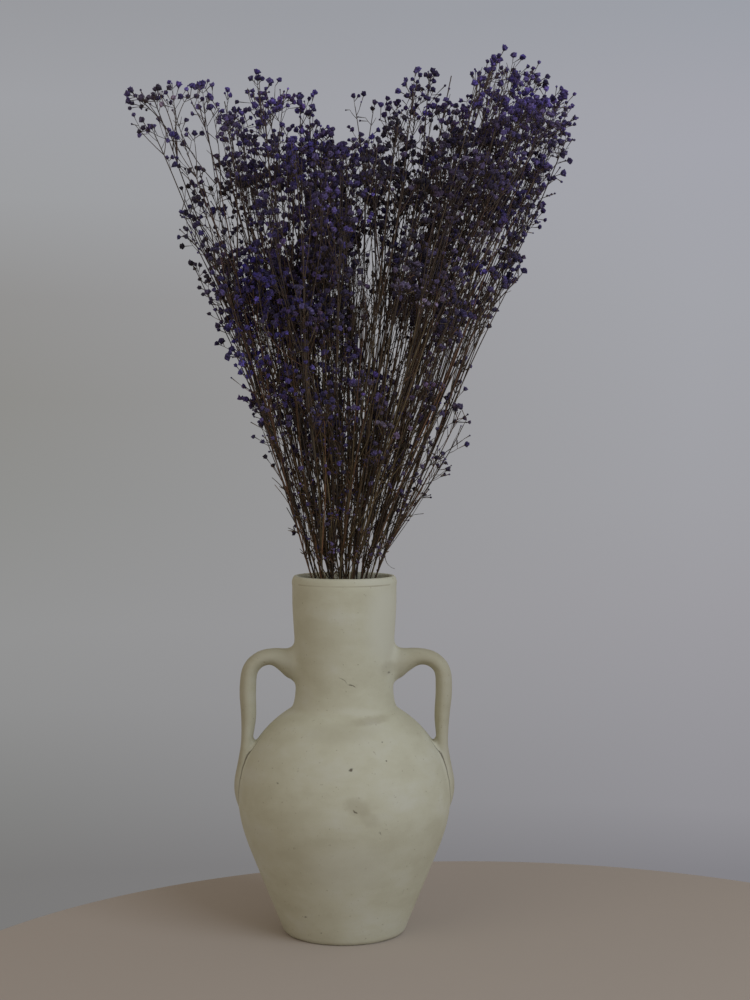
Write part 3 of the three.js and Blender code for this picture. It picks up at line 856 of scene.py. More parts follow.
class Stem:
    """One flowering stem: its seat, its height, and where any seat near it lies in space."""

    def __init__(self, index):
        draw = seeded(SEED + index)
        self.index = index
        self.seat = seat_of(index)
        self.tip = crown_height(*self.seat) - draw(*TIP_SHORTFALL)
        self.reach = self.tip - VASE_TOP
        stray = draw(*STRAY)
        is_wing = self.seat[0] < WING["from"] and abs(self.seat[1]) < WING["half_depth"]
        self.bow = WING["bow"] if is_wing else stray
        self.twigs = list(self.grow(draw))

    def place(self, a, b, z):
        """The fan's place, bowed sideways by the square of the share of the height."""
        point = fan(a, b, z)
        point[..., 0] += self.bow * (np.maximum(z - VASE_TOP, 0) / self.reach) ** 2
        return point

    def fork(self, draw, heading):
        """A pair of pedicels on opposite sides as (heading, spread, rise)."""
        pair = []
        for side in (heading, heading + math.pi):
            pair.append((side, draw(*FORK_SPREAD), draw(*FORK_RISE)))
            skipped(draw, 1 + PETAL_DRAWS)
        return pair

    def grow(self, draw):
        """Yields each side twig as (start height, end height, spread, heading, its fork)."""
        shift = draw(*KNOT_SHIFT)
        ends = [VASE_TOP + self.reach * (share + shift) for share, _, _ in KNOTS]
        self.knots = [max(end - length, LOWEST_KNOT) for end, (_, length, _) in zip(ends, KNOTS)]
        skipped(draw, 1 + PETAL_DRAWS)
        turn = math.pi * draw()
        for n, (_, _, has_florets) in enumerate(KNOTS):
            for side in (turn, turn + math.pi):
                heading = side + n * math.pi / 2 + draw(*TWIG_TURN)
                end = ends[n] + self.reach * draw(*TWIG_END_SHIFT)
                skipped(draw, 1)
                spread = draw(*TWIG_SPREAD)
                skipped(draw, PETAL_DRAWS)
                fork = self.fork(draw, heading + draw(*FORK_TURN)) if has_florets else []
                yield self.knots[n], end, spread, heading, fork
        self.top_fork = self.fork(draw, turn + len(KNOTS) * math.pi / 2)
        if abs(self.seat[0]) > LOW_TWIG_FROM:
            heading = 0 if self.seat[0] > 0 else math.pi
            yield self.knots[0], draw(*LOW_TWIG_END), LOW_TWIG_SPREAD, heading, []


stems = [Stem(index) for index in range(len(STEM_NODES))]
print("stems", len(stems), "and twigs", sum(len(stem.twigs) for stem in stems))

# %% [markdown]
# ## Fine twigs and forks
#
# Baby's breath forks again and again: every joint carries a pair of branches and the main line
# goes on between them, until the last forks are hair-thin pedicels with a floret each. The solids
# carry only the first forks. Here each stem also gets side stems from low down, small twigs on
# those, and at every end a spray: opposite pairs of branchlets, each with a threefold fork of
# pedicels and now and then one more below it. All are lines in space, so one function turns them
# into tubes, as many as there are of a kind at once.

# %% Lines to tubes
CURL = 0.3
# Two sine waves let a line wander by up to this reach, fully from a fade's height above the mouth.
WANDER = {"reach": 2.4, "waves": (31, 67), "fade": 60}
# A spray rises about this far above the end that it stands on.
SPRAY_ROOM = 10


def tubes(lines, radii, sides):
    """Closed tubes round many lines at once, from (tubes, points, 3) and radii (tubes, points).

    Across each line, one direction is the X axis made square to the slope, and the other is
    square to both. A ring is the centre plus the radius times their cosine and sine parts.
    """
    slope = unit(np.gradient(lines, axis=1))
    first = unit(np.array([1.0, 0, 0]) - slope * slope[..., :1])
    second = np.cross(slope, first)
    angle = np.linspace(0, 2 * math.pi, sides, endpoint=False)
    round_it = (first[:, :, None] * np.cos(angle)[:, None]
                + second[:, :, None] * np.sin(angle)[:, None])
    return skin(lines[:, :, None] + radii[:, :, None, None] * round_it)


def square_pair(axis):
    """Two directions square to each axis and to each other."""
    first = unit(np.cross(axis, [0.0, 1.0, 0.0]) + 1e-6)
    return first, np.cross(axis, first)


def springing(start, axis, out, along, aside, points):
    """Lines that leave a start point: along the axis in step with t, and aside by
    t + curl (t - t squared), so they open a little faster at first and then straighten."""
    t = np.linspace(0, 1, points)[None, :, None]
    ease = t + CURL * (t - t * t)
    return (start[:, None] + axis[:, None] * along[:, None, None] * t
            + out[:, None] * aside[:, None, None] * ease)


def leaning(start, axis, turn, lean, length, points):
    """Springing lines that lean out of their axis by an angle, on the side given by a turn."""
    first, second = square_pair(axis)
    out = first * np.cos(turn)[:, None] + second * np.sin(turn)[:, None]
    return springing(start, axis, out, length * np.cos(lean), length * np.sin(lean), points)


print("twigs wander by up to", WANDER["reach"], "mm")

# %% [markdown]
# The bunch has an outline: a heart with a notch above and a long taper below. A flowering twig
# stops a little short of it, flowers outside it are left out, and fewer are grown in a few places
# where the backdrop shows through.

# %% Outline of the bunch
LEFT_EDGE = np.array([
    [300, -34], [355, -52], [406, -73], [426, -80], [448, -91], [472, -96], [500, -109],
    [520, -114], [560, -131], [581, -138], [602, -138], [630, -136], [649, -150], [661, -162],
    [680, -184], [700, -186],
])
RIGHT_EDGE = np.array([
    [300, 36], [340, 56], [370, 78], [395, 98], [420, 106], [455, 105], [505, 122], [555, 152],
    [590, 166], [618, 183], [652, 190], [692, 197], [716, 191], [735, 176], [745, 150],
])
TOP_EDGE = np.array([
    [-185, 700], [-176, 708], [-142, 711], [-127, 708], [-118, 708], [-112, 720], [-98, 718],
    [-91, 708], [-78, 710], [-72, 719], [-54, 718], [-46, 706], [-22, 704], [-18, 688],
    [-12, 678], [0, 676], [4, 702], [24, 699], [28, 684], [34, 698], [46, 706], [56, 725],
    [80, 726], [86, 708], [102, 708], [106, 743], [138, 744], [148, 731], [177, 726],
    [190, 716], [198, 694],
])
DEEPEST = 98
# Centre across and up, reach across and up in millimetres, and the share left out.
SPARSE = [
    (24, 530, 17, 52, 0.9), (-104, 560, 14, 50, 0.3), (-60, 390, 16, 30, 0.4),
    (118, 500, 20, 60, 0.5), (-128, 668, 24, 28, 0.6), (-104, 640, 12, 24, 0.4),
    (66, 672, 18, 12, 0.5), (50, 460, 16, 44, 0.6),
    (18, 676, 16, 14, 0.8), (96, 706, 14, 20, 0.55), (122, 716, 20, 22, 0.35),
    (-92, 700, 14, 16, 0.4), (10, 440, 14, 40, 0.5), (86, 450, 14, 40, 0.5),
    (142, 724, 36, 16, 0.35), (34, 490, 12, 24, 0.5), (66, 400, 16, 30, 0.4),
    (-122, 604, 22, 32, 0.45),
]


def from_the_front(point):
    """A place's across and up as they look from the camera, drawn on the plane through the axis:
    offsets from the camera's line shrink by the distance to the plane over that to the place."""
    nearer = CAMERA_DISTANCE / (CAMERA_DISTANCE + point[..., 1])
    return point[..., 0] * nearer, CAMERA_HEIGHT + (point[..., 2] - CAMERA_HEIGHT) * nearer


def inside_outline(point, room):
    """Whether points lie inside the outline with some room to spare, seen from the front."""
    across, up = from_the_front(point)
    left = np.interp(up, LEFT_EDGE[:, 0], LEFT_EDGE[:, 1]) + room
    right = np.interp(up, RIGHT_EDGE[:, 0], RIGHT_EDGE[:, 1]) - room
    top = np.interp(across, TOP_EDGE[:, 0], TOP_EDGE[:, 1]) - room
    return (left < across) & (across < right) & (up < top)


def share_left_out(point):
    """The share of growth missing at points: 1 less the product of what each sparse place
    leaves, where a place acts inside an oval."""
    across, up = from_the_front(point)
    left = np.ones_like(across)
    for x, z, reach, tall, share in SPARSE:
        within = ((across - x) / reach) ** 2 + ((up - z) / tall) ** 2 < 1
        left = left * np.where(within, 1 - share, 1)
    return 1 - left


def grows_here(line, rng):
    """Whether a new twig may grow along a line, given the outline and the sparse places."""
    fits = inside_outline(line[-1], SPRAY_ROOM) and abs(line[-1, 1]) < DEEPEST
    return fits and rng.random() >= share_left_out(line[len(line) // 3 :: 2]).max()


print("the outline is", RIGHT_EDGE[:, 1].max() - LEFT_EDGE[:, 1].min(), "mm wide")

# %% [markdown]
# Some small things in the bunch are placed one by one: a few sprays at the tip of the thin wing,
# along both edges, in the left lobe and in the notch, tiny mauve florets low down near the
# mouth, a budding twig that leans out low on the right, some bare twigs on the left, and a dried
# leaf that hangs beside the mouth on the right.

# %% Single sprigs
# Each row: where it leaves a stem (across, up), where it ends (across, depth, up), and its kind.
SPRIGS = [
    (12, 600, 9, -14, 688, "spray"), (14, 610, 24, -10, 684, "spray"),
    (-150, 640, -170, -14, 694, "spray"), (-146, 640, -154, -6, 702, "spray"),
    (-136, 640, -141, -14, 700, "spray"), (-140, 650, -133, -4, 692, "spray"),
    (-45, 600, -50, -10, 693, "spray"), (-40, 600, -58, 10, 686, "spray"),
    (-100, 520, -127, -20, 603, "spray"), (-100, 530, -119, -10, 590, "spray"),
    (-96, 500, -127, -16, 578, "spray"), (-90, 500, -112, -24, 562, "spray"),
    (-100, 540, -115, -30, 618, "spray"), (-90, 480, -107, -10, 546, "spray"),
    (-84, 470, -100, -20, 528, "spray"), (-104, 560, -128, -24, 628, "spray"),
    (130, 540, 176, -10, 642, "spray"), (128, 540, 167, -20, 622, "spray"),
    (120, 520, 159, -10, 602, "spray"), (120, 500, 149, -16, 588, "spray"),
    (140, 560, 179, 0, 662, "spray"), (110, 490, 140, -20, 572, "spray"),
    (100, 470, 127, -14, 548, "spray"), (140, 580, 184, -12, 682, "spray"),
    (96, 440, 119, -16, 520, "spray"),
    (22, 272, 27, -32, 322, "haze"), (20, 280, 20, -36, 331, "haze"),
    (6, 270, 8, -34, 316, "haze"), (-4, 280, -10, -34, 325, "haze"),
    (28, 285, 34, -28, 330, "haze"), (14, 276, 14, -38, 340, "haze"),
    (0, 300, -6, -40, 352, "haze"), (-24, 290, -30, -30, 345, "haze"),
    (46, 318, 98, -16, 413, "budding"), (-33, 312, -69, -12, 404, "thin"),
    (-36, 322, -58, -8, 376, "bare"), (-46, 352, -60, -14, 382, "bare"),
    (-30, 306, -37, -16, 323, "bare"), (-40, 330, -47, -10, 340, "bare"),
    (56, 338, 66, -14, 352, "bare"), (32, 318, 41.5, -26, 307, "leaf"),
]
# For each kind: radius at both ends, branchlets at the tip, share of open florets, floret size.
SPRIG_KINDS = {
    "spray": (0.5, 0.3, 4, 0.8, 1.0),
    "haze": (0.3, 0.2, 5, 0.9, 0.5),
    "budding": (0.6, 0.3, 5, 0.0, 0.9),
    "thin": (0.5, 0.3, 2, 0.6, 0.9),
    "bare": (0.45, 0.25, 0, 0.0, 0.0),
    "leaf": (0.3, 0.15, 0, 0.0, 0.0),
}
BUDDING_JOINTS = (4, 5, 6, 7, 8)
BUDDING_BRANCHLETS = 3
BARE_JOINT = 6
# Sprigs look for a stem near this depth, and its distance in depth counts for this share.
SPRIG_DEPTH = -15
DEPTH_SHARE = 1 / 3


def sprigs_by_stem():
    """The rows of each stem: a sprig goes to the stem that passes nearest to where it leaves,
    with distance in depth counted at a third, so that one near the front is chosen."""
    rows = {stem.index: [] for stem in stems}
    for row in SPRIGS:
        places = [stem.place(*stem.seat, np.array([float(row[1])]))[0] for stem in stems]
        gaps = [math.hypot(place[0] - row[0], (place[1] - SPRIG_DEPTH) * DEPTH_SHARE)
                for place in places]
        rows[int(np.argmin(gaps))].append(row)
    return rows


OWN_SPRIGS = sprigs_by_stem()
print("sprigs:", len(SPRIGS), "on", sum(bool(rows) for rows in OWN_SPRIGS.values()), "stems")

# %% [markdown]
# The fine growth has a few kinds of line. Side stems leave a stem low down and climb into the
# crown, each with small twigs of its own. Low twigs and crossing ones are short and thin and fill
# the taper. Each is a line of the fan whose seat slides away from its stem's, so it rises with the
# stems beside it, and is then bowed a little, because dried twigs are never straight. It is kept
# only where the outline and the sparse places let it grow.

# %% Numbers of the fine growth
# Points along each kind of line. Those of a stem are evenly spaced above the vase, with a few more
# at given heights inside it and close above and below each knot.
POINTS = {"stem": 22, "twig": 11, "side stem": 14, "thin twig": 7, "sprig": 10, "prong": 5}
HEIGHTS_INSIDE = [STEM_FOOT, 40, 80, 130, 175, 205, 229, 255, 280]
FIRST_HEIGHT_ABOVE = 300
KNOT_HALF_LENGTH = 2.5
KNOT_SWELLING = 0.4
# A stem's flowering end is looked for among its last points, and a twig is forked at this point.
TOP_POINTS = 6
FORK_POINT = 7
FORK_BRANCHLETS = 2
# Branchlets of a full spray.
FULL_SPRAY = 5
# A flowering line ends this far inside the outline, but keeps at least so many of its points.
OUTLINE_ROOM = 4
FEWEST_POINTS = 5
MAIN_RADIUS = (0.9, 0.4)
TWIG_RADIUS = (0.58, 0.33)
FORK_RADIUS = (0.38, 0.25)
SIDE_STEM = {"count": 4, "start": (300, 450), "share": (0.3, 1.0), "spread": (0.04, 0.25),
             "radius": (0.46, 0.28)}
# Only stems right of this seat have these, high up, where the bunch is at its fullest.
CROWN_STEM = {"right_of": 0.12, "count": 2, "start": (330, 480), "share": (0.86, 1.0),
              "spread": (0.05, 0.25), "radius": (0.5, 0.3)}
SIDE_TWIG = {"count": 2, "leaves": (0.4, 0.9), "rise": (45, 100), "spread": (0.06, 0.16),
             "radius": (0.38, 0.25)}
LOW_TWIG = {"count": 12, "start": (292, 520), "rise": (30, 110), "spread": (0.15, 0.6),
            "radius": (0.3, 0.18), "branchlets": 3, "share_open": 0.55, "size": 0.85}
# Long thin twigs that start low and cross in front of or behind the stems beside them.
CROSSING = {"count": 2, "start": (292, 380), "rise": (70, 190), "spread": (0.35, 0.95),
            "radius": (0.42, 0.22), "branchlets": 2, "share_open": 0.5, "size": 0.8}
TRIES = 5
# Under 1, this makes the longer ones of side stems more common.
SHARE_POWER = 0.7
# How far a twig bows aside in its middle, as a share of its length.
BOW = 0.022
# How far a sprig's curve is pulled up, or down for a leaf, as a share of its length.
SPRIG_PULL = 0.45

print("side twigs of a stem:", SIDE_STEM["count"], "long,", LOW_TWIG["count"], "low and",
      CROSSING["count"], "crossing")

# %% Lines of one stem
def bowed(line, rng):
    """A line pushed aside by 4 t (1 - t) times a random bow, so it is furthest off in its middle."""
    t = np.linspace(0, 1, len(line))[:, None]
    aside = rng.normal(0, BOW, 3) * np.linalg.norm(line[-1] - line[0])
    return line + 4 * t * (1 - t) * aside * [1, 1, 0]


class Growth:
    """The lines of one stem as they grow: the woody ones as (line, radii), the ends that carry
    flowers as (tip, axis, branchlets, share open, size), and the joints as (point, axis)."""

    def __init__(self, stem, rng):
        self.stem = stem
        self.rng = rng
        self.phase = rng.uniform(0, 2 * math.pi, (2, 2))
        self.woody = []
        self.ends = []
        self.joints = []

    def place(self, a, b, z):
        """The stem's place with a small wander: two sine waves that fade to nothing at the
        mouth of the vase."""
        point = self.stem.place(a, b, z)
        fade = np.clip((z - VASE_TOP) / WANDER["fade"], 0, 1) * WANDER["reach"]
        for axis in (0, 1):
            for wave, offset in zip(WANDER["waves"], self.phase[axis]):
                point[..., axis] += fade * np.sin(z / wave + offset) / 2
        return point

    def sliding(self, seat, start, end, spread, heading, points):
        """A twig's line and its seats, which slide by spread times 1 - (1 - t) squared towards
        the heading."""
        t = np.linspace(0, 1, points)
        ease = spread * (1 - (1 - t) ** 2)
        a = seat[0] + ease * math.cos(heading)
        b = seat[1] + ease * math.sin(heading)
        top = min(end, crown_height(a[-1], b[-1]) - SPRAY_ROOM)
        return self.place(a, b, start + (top - start) * t), (a, b)

    def anywhere(self, kind, seat, start, end, points):
        """A sliding line with a random spread of its kind and a random heading."""
        spread = self.rng.uniform(*kind["spread"])
        heading = self.rng.uniform(0, 2 * math.pi)
        return self.sliding(seat, start, end, spread, heading, points)

    def flowering(self, line, branchlets=FULL_SPRAY, share_open=1.0, size=1.0):
        """What is left of a line that ends at the outline. Its tip is stored as an end."""
        within = np.flatnonzero(inside_outline(line, OUTLINE_ROOM))
        line = line[: max(within[-1] + 1 if len(within) else 0, FEWEST_POINTS)]
        self.ends.append((line[-1], line[-1] - line[-3], branchlets, share_open, size))
        return line

    def grown(self, line, radii):
        """Stores a line as wood, from the first radius to the last."""
        self.woody.append((line, np.linspace(*radii, len(line))))

    def joined_at(self, line, point):
        """Stores a joint at a point of a line, in line with the stretch before it, or after it at
        the start of the line."""
        before = max(point - 1, 0)
        self.joints.append((line[point], line[before + 1] - line[before]))

    def forked(self, line, at, fork):
        """The pedicel pairs that the solids have, as lines with a small spray of their own."""
        up = unit(line[-1] - line[at])
        for heading, spread, rise in fork:
            out = np.array([math.cos(heading), math.sin(heading), 0])
            prong = springing(line[at][None], up[None], out[None], np.array([rise]),
                              np.array([spread]), POINTS["prong"])[0]
            if inside_outline(prong[-1], OUTLINE_ROOM):
                self.grown(self.flowering(prong, FORK_BRANCHLETS), FORK_RADIUS)

    def stem_and_twigs(self):
        """The stem and the side twigs that the solids have too."""
        stem = self.stem
        knots = np.array(stem.knots)
        upper = np.linspace(FIRST_HEIGHT_ABOVE, stem.tip - SPRAY_ROOM, POINTS["stem"])
        heights = np.sort(np.concatenate([
            HEIGHTS_INSIDE, upper, knots - KNOT_HALF_LENGTH, knots, knots + KNOT_HALF_LENGTH]))
        at_knot = np.isin(heights, knots)
        main = self.place(*stem.seat, heights)
        radii = np.interp(heights, [STEM_FOOT, stem.tip], MAIN_RADIUS)
        self.woody.append((main, radii * (1 + KNOT_SWELLING * at_knot)))
        self.joints += [(main[i], main[i + 1] - main[i - 1]) for i in np.flatnonzero(at_knot)]
        self.flowering(main[-TOP_POINTS:])
        for start, end, spread, heading, fork in stem.twigs:
            line, _ = self.sliding(stem.seat, start, end, spread, heading, POINTS["twig"])
            self.grown(self.flowering(line), TWIG_RADIUS)
            self.forked(line, FORK_POINT, fork)
        self.forked(main[heights > stem.tip - TOP_KNOT_BELOW_TIP], 0, stem.top_fork)

    def side_stems(self):
        """Long side stems from low down, each with small twigs of its own. A stem gets no side
        stem where none of a few tries may grow."""
        stem, rng = self.stem, self.rng
        kinds = [SIDE_STEM] * SIDE_STEM["count"]
        if stem.seat[0] > CROWN_STEM["right_of"]:
            kinds += [CROWN_STEM] * CROWN_STEM["count"]
        for kind in kinds:
            for _ in range(TRIES):
                share = kind["share"][0] + np.ptp(kind["share"]) * rng.random() ** SHARE_POWER
                line, seats = self.anywhere(kind, stem.seat, rng.uniform(*kind["start"]),
                                            VASE_TOP + stem.reach * share, POINTS["side stem"])
                if grows_here(line, rng):
                    line = bowed(line, rng)
                    self.grown(self.flowering(line), kind["radius"])
                    self.joined_at(line, 0)
                    self.twigs_on(line, seats)
                    break

    def twigs_on(self, line, seats):
        """Small twigs that leave a side stem between given shares of its length."""
        for _ in range(SIDE_TWIG["count"]):
            leaves = int(len(line) * self.rng.uniform(*SIDE_TWIG["leaves"]))
            z = line[leaves, 2]
            twig, _ = self.anywhere(SIDE_TWIG, (seats[0][leaves], seats[1][leaves]), z,
                                    z + self.rng.uniform(*SIDE_TWIG["rise"]), POINTS["thin twig"])
            twig = bowed(twig + line[leaves] - twig[0], self.rng)
            if grows_here(twig, self.rng):
                self.grown(self.flowering(twig), SIDE_TWIG["radius"])
                self.joined_at(line, leaves)

    def thin_twigs(self):
        """The low twigs and the crossing ones."""
        rng = self.rng
        for kind in [LOW_TWIG] * LOW_TWIG["count"] + [CROSSING] * CROSSING["count"]:
            z = rng.uniform(*kind["start"])
            line, _ = self.anywhere(kind, self.stem.seat, z, z + rng.uniform(*kind["rise"]),
                                    POINTS["thin twig"])
            line = bowed(line, rng)
            if grows_here(line, rng):
                flowers = (kind["branchlets"], kind["share_open"], kind["size"])
                self.grown(self.flowering(line, *flowers), kind["radius"])
                self.joined_at(line, 0)

    def sprigs(self):
        """The stem's own sprigs: curves of t with one corner point, above the root or below it."""
        t = np.linspace(0, 1, POINTS["sprig"])[:, None]
        for _, up, x, y, z, kind in OWN_SPRIGS[self.stem.index]:
            root = self.place(*self.stem.seat, np.array([float(up)]))[0]
            tip = np.array([x, y, z], float)
            pull = SPRIG_PULL * np.linalg.norm(tip - root) * (-1 if kind == "leaf" else 1)
            line = root * (1 - t) ** 2 + 2 * (root + [0, 0, pull]) * t * (1 - t) + tip * t * t
            first, last, branchlets, share_open, size = SPRIG_KINDS[kind]
            kept = self.flowering(line, branchlets, share_open, size) if branchlets else line
            self.grown(kept, (first, last))
            if kind == "budding":
                for i in BUDDING_JOINTS:
                    axis = line[i] - line[i - 1]
                    self.ends.append((line[i], axis, BUDDING_BRANCHLETS, share_open, size))
            if kind in ("thin", "bare"):
                self.joined_at(line, BARE_JOINT)


def grow_lines(stem, rng):
    """All lines of one stem, in the order of their random draws."""
    growth = Growth(stem, rng)
    growth.stem_and_twigs()
    growth.side_stems()
    growth.thin_twigs()
    growth.sprigs()
    return growth


print("points along the lines:", POINTS)

# %% [markdown]
# A spray is worked out for all ends of a stem at once. Its branchlets leave below the tip in
# opposite pairs, each pair turned a quarter from the last, and pedicels leave each branchlet in
# the same way. Low in the bunch fewer of them are kept, and none whose end lies outside the
# bunch's outline. Each pedicel ends in an open floret or a bud.

# %% Sprays
# The branchlets of a spray: how far below the tip each leaves, and how long it is.
BRANCHLET_BACK = np.array([3, 11, 13, 21, 24])
BRANCHLET_LENGTH = np.array([5, 9, 10, 13, 15])
BRANCHLET_LEAN = (0.3, 0.85)
FIRST_LEAN = 0.05
BRANCHLET_KEPT = 0.88
# The pedicels of a branchlet: the point of its line that each leaves, lean, length, the share
# that is there, and the share of those with an open floret.
PEDICEL_POINT = np.array([2, 2, 2, 1])
PEDICEL_LEAN = np.array([0.15, 0.75, 0.75, 0.9])
PEDICEL_LENGTH = np.array([5.6, 7.2, 7.2, 6.6])
PEDICEL_KEPT = np.array([0.85, 0.62, 0.62, 0.3])
PEDICEL_OPEN = np.array([0.86, 0.8, 0.8, 0.25])
FLORET_RADIUS = (1.9, 3.3)
BUD_RADIUS = (0.7, 1.25)
# The least and most that chance makes of these lengths and of a pedicel's lean, and how far it
# turns a branchlet, in radians.
VARIES = {"back": (0.5, 1.6), "branchlet": (0.6, 1.3), "pedicel": (0.55, 1.45), "lean": (0.7, 1.3)}
TURN_STRAYS = 0.3
# The height where a share starts to grow, the rise until it is 1, and the least share.
SPRAYS_FILL_UP = (330, 130, 0.12)
FLORETS_OPEN_UP = (250, 180, 0.5)
# Ends whose florets are smaller than this share have sprays of this scale.
TINY_FLORETS = 0.6
TINY_SPRAY = 0.55


def rising(height, start, rise, least):
    """A share that grows in step with height, from the least one to 1."""
    return np.clip((height - start) / rise, least, 1)


def branchlets_of(tips, axes, wanted, size, rng):
    """The branchlets at all ends as lines, the end that each belongs to, and its scale."""
    owner, slot = np.divmod(np.arange(len(tips) * FULL_SPRAY), FULL_SPRAY)
    full = rising(tips[owner, 2], *SPRAYS_FILL_UP)
    chance = BRANCHLET_KEPT * np.where(size[owner] < 1, 1, full)
    kept = (slot < wanted[owner]) & (rng.random(len(owner)) < chance)
    owner, slot = owner[kept], slot[kept]
    count = len(owner)
    scale = np.where(size < TINY_FLORETS, TINY_SPRAY, 1)[owner]
    turn = rng.uniform(0, 2 * math.pi, len(tips))[owner] + math.pi * (slot % 2 + (slot + 1) // 2 / 2)
    lean = np.where(slot == 0, FIRST_LEAN, rng.uniform(*BRANCHLET_LEAN, count))
    back = BRANCHLET_BACK[slot] * rng.uniform(*VARIES["back"], count) * scale
    start = tips[owner] - axes[owner] * back[:, None]
    length = BRANCHLET_LENGTH[slot] * rng.uniform(*VARIES["branchlet"], count) * scale
    turn = turn + rng.normal(0, TURN_STRAYS, count)
    lines = leaning(start, axes[owner], turn, lean, length, 3)
    kept = inside_outline(lines[:, -1], 0)
    return lines[kept], owner[kept], scale[kept]


def sprays(ends, rng):
    """The lines of the branchlets and of the pedicels at a stem's ends, whether each pedicel has
    an open floret, the radius of its floret or bud, and the number of its spray."""
    tips, axes, wanted, share_open, size = (
        np.array([end[k] for end in ends], float) for k in range(5))
    branchlets, owner, scale = branchlets_of(tips, unit(axes), wanted, size, rng)
    branch, slot = np.divmod(np.arange(len(branchlets) * len(PEDICEL_POINT)), len(PEDICEL_POINT))
    kept = rng.random(len(branch)) < PEDICEL_KEPT[slot]
    branch, slot = branch[kept], slot[kept]
    spray = owner[branch]
    count = len(branch)
    axis = unit(branchlets[branch, -1] - branchlets[branch, -2])
    turn = rng.uniform(0, 2 * math.pi, len(branchlets))[branch] + math.pi * slot
    lean = PEDICEL_LEAN[slot] * rng.uniform(*VARIES["lean"], count)
    length = PEDICEL_LENGTH[slot] * rng.uniform(*VARIES["pedicel"], count) * scale[branch]
    pedicels = leaning(branchlets[branch, PEDICEL_POINT[slot]], axis, turn, lean, length, 2)
    tip = pedicels[:, -1]
    kept = inside_outline(tip, 0) & (rng.random(count) >= share_left_out(tip))
    pedicels, slot, spray, count = pedicels[kept], slot[kept], spray[kept], int(kept.sum())
    opened = rng.random(count) < PEDICEL_OPEN[slot] * share_open[spray]
    opened &= rng.random(count) < rising(tips[spray, 2], *FLORETS_OPEN_UP)
    radius = np.where(opened, rng.uniform(*FLORET_RADIUS, count), rng.uniform(*BUD_RADIUS, count))
    return branchlets, pedicels, opened, radius * size[spray], spray


print("a full spray has", FULL_SPRAY, "branchlets of", len(PEDICEL_POINT), "pedicels")

# %% [markdown]
# ## Florets
#
# A double baby's breath floret is a puff of ragged petals on a small cup. Dried, the petals
# shrink and crumple, so at arm's length it reads as a round, knobbly pellet with dark clefts.
# With thousands of them each may have only a few dozen faces. So a floret is a small ball of
# three rings of eight points, in which every other point is a petal tip and the one between is a
# cleft, and the tips of one ring stand over the clefts of the last. Several crumpled variants are
# made, then turned, sized and placed as whole arrays.

# %% Forms of a floret and a bud
PETAL_TIPS = 4
# Each ring: the reach of a petal tip and of a cleft, and the height of each, for a floret of
# radius one whose cup is at height zero.
FLORET_RINGS = [
    (0.34, 0.34, 0.00, 0.00),
    (1.00, 0.76, 0.58, 0.66),
    (0.82, 0.58, 1.28, 1.12),
]
FLORET_TOP = 1.48
CRUMPLE = 0.2
VARIANTS = 8
# How bright each kind of point is, as a share of the floret's colour. The clefts and the centre
# are painted shade, the cup is darker partly in its own colour and partly as painted shade, and
# the tips are lighter partly as paler dried edges and partly as a painted highlight.
PAINTED_SHADES = {"tip": 1.35, "cleft": 0.42, "cup": 0.35, "top": 0.7}
# Radius and height of the rings of a bud of radius one.
BUD_RINGS = [(0.55, 0.2), (1.0, 1.2)]
BUD_SIDES = 5
BUD_TOP = 2.2
BUD_SHADES = (0.6, 1.0)
FORM_SEED = 7


def cup_faces(rings, sides):
    """The faces of rings of points with one more point on top: squares from ring to ring, a
    floor, and a lid of triangles."""
    number = np.arange(rings * sides).reshape(rings, sides)
    low, high = number[:-1], number[1:]
    walls = np.stack([low, np.roll(low, -1, 1), np.roll(high, -1, 1), high], -1).reshape(-1, 4)
    lid = np.stack([number[-1], np.roll(number[-1], -1), np.full(sides, number.size)], -1)
    return [walls, number[:1, ::-1], lid]


def floret_form(rng, crumple):
    """Points (three rings, then the top), faces, and a shade for each point: bright at a petal
    tip and dark in a cleft. Odd rings have their tips at even points, even rings at odd ones."""
    count = 2 * PETAL_TIPS
    step = np.arange(count)
    points = []
    shades = []
    for ring, (tip, cleft, tip_height, cleft_height) in enumerate(FLORET_RINGS):
        is_tip = (step + ring) % 2 == 1
        reach = np.where(is_tip, tip, cleft) * (1 + rng.normal(0, crumple, count))
        height = np.where(is_tip, tip_height, cleft_height) + rng.normal(0, crumple / 2, count)
        angle = 2 * math.pi * (step + rng.normal(0, crumple, count)) / count
        shade = np.where(is_tip, PAINTED_SHADES["tip"], PAINTED_SHADES["cleft"])
        if ring == 0:
            reach, height, shade = (np.full(count, value) for value in (tip, 0.0, PAINTED_SHADES["cup"]))
        points.append(np.stack([reach * np.cos(angle), reach * np.sin(angle), height], -1))
        shades.append(shade)
    points.append([[0, 0, FLORET_TOP]])
    shades.append([PAINTED_SHADES["top"]])
    return np.concatenate(points), cup_faces(len(FLORET_RINGS), count), np.concatenate(shades)


def bud_form():
    """A closed bud: a small pear of two rings with a point at the top."""
    angle = 2 * math.pi * np.arange(BUD_SIDES) / BUD_SIDES
    rings = [np.stack([reach * np.cos(angle), reach * np.sin(angle), height + 0 * angle], -1)
             for reach, height in BUD_RINGS]
    shades = np.repeat(BUD_SHADES, [BUD_SIDES, BUD_SIDES + 1])
    return np.concatenate(rings + [[[0, 0, BUD_TOP]]]), cup_faces(len(BUD_RINGS), BUD_SIDES), shades


def scattered(form, places, axes, sizes, turns):
    """Copies of a form, one for each place: scaled, spun by its turn, and stood on its axis."""
    points, faces, _ = form
    first, second = square_pair(axes)
    cos, sin = np.cos(turns)[:, None], np.sin(turns)[:, None]
    across, aside = first * cos + second * sin, second * cos - first * sin
    axes_of = np.stack([across, aside, axes], 1)
    moved = np.einsum("pk,nkc->npc", points, axes_of) * sizes[:, None, None] + places[:, None]
    offset = (np.arange(len(places)) * len(points))[:, None, None]
    return moved.reshape(-1, 3), [(face + offset).reshape(-1, face.shape[1]) for face in faces]


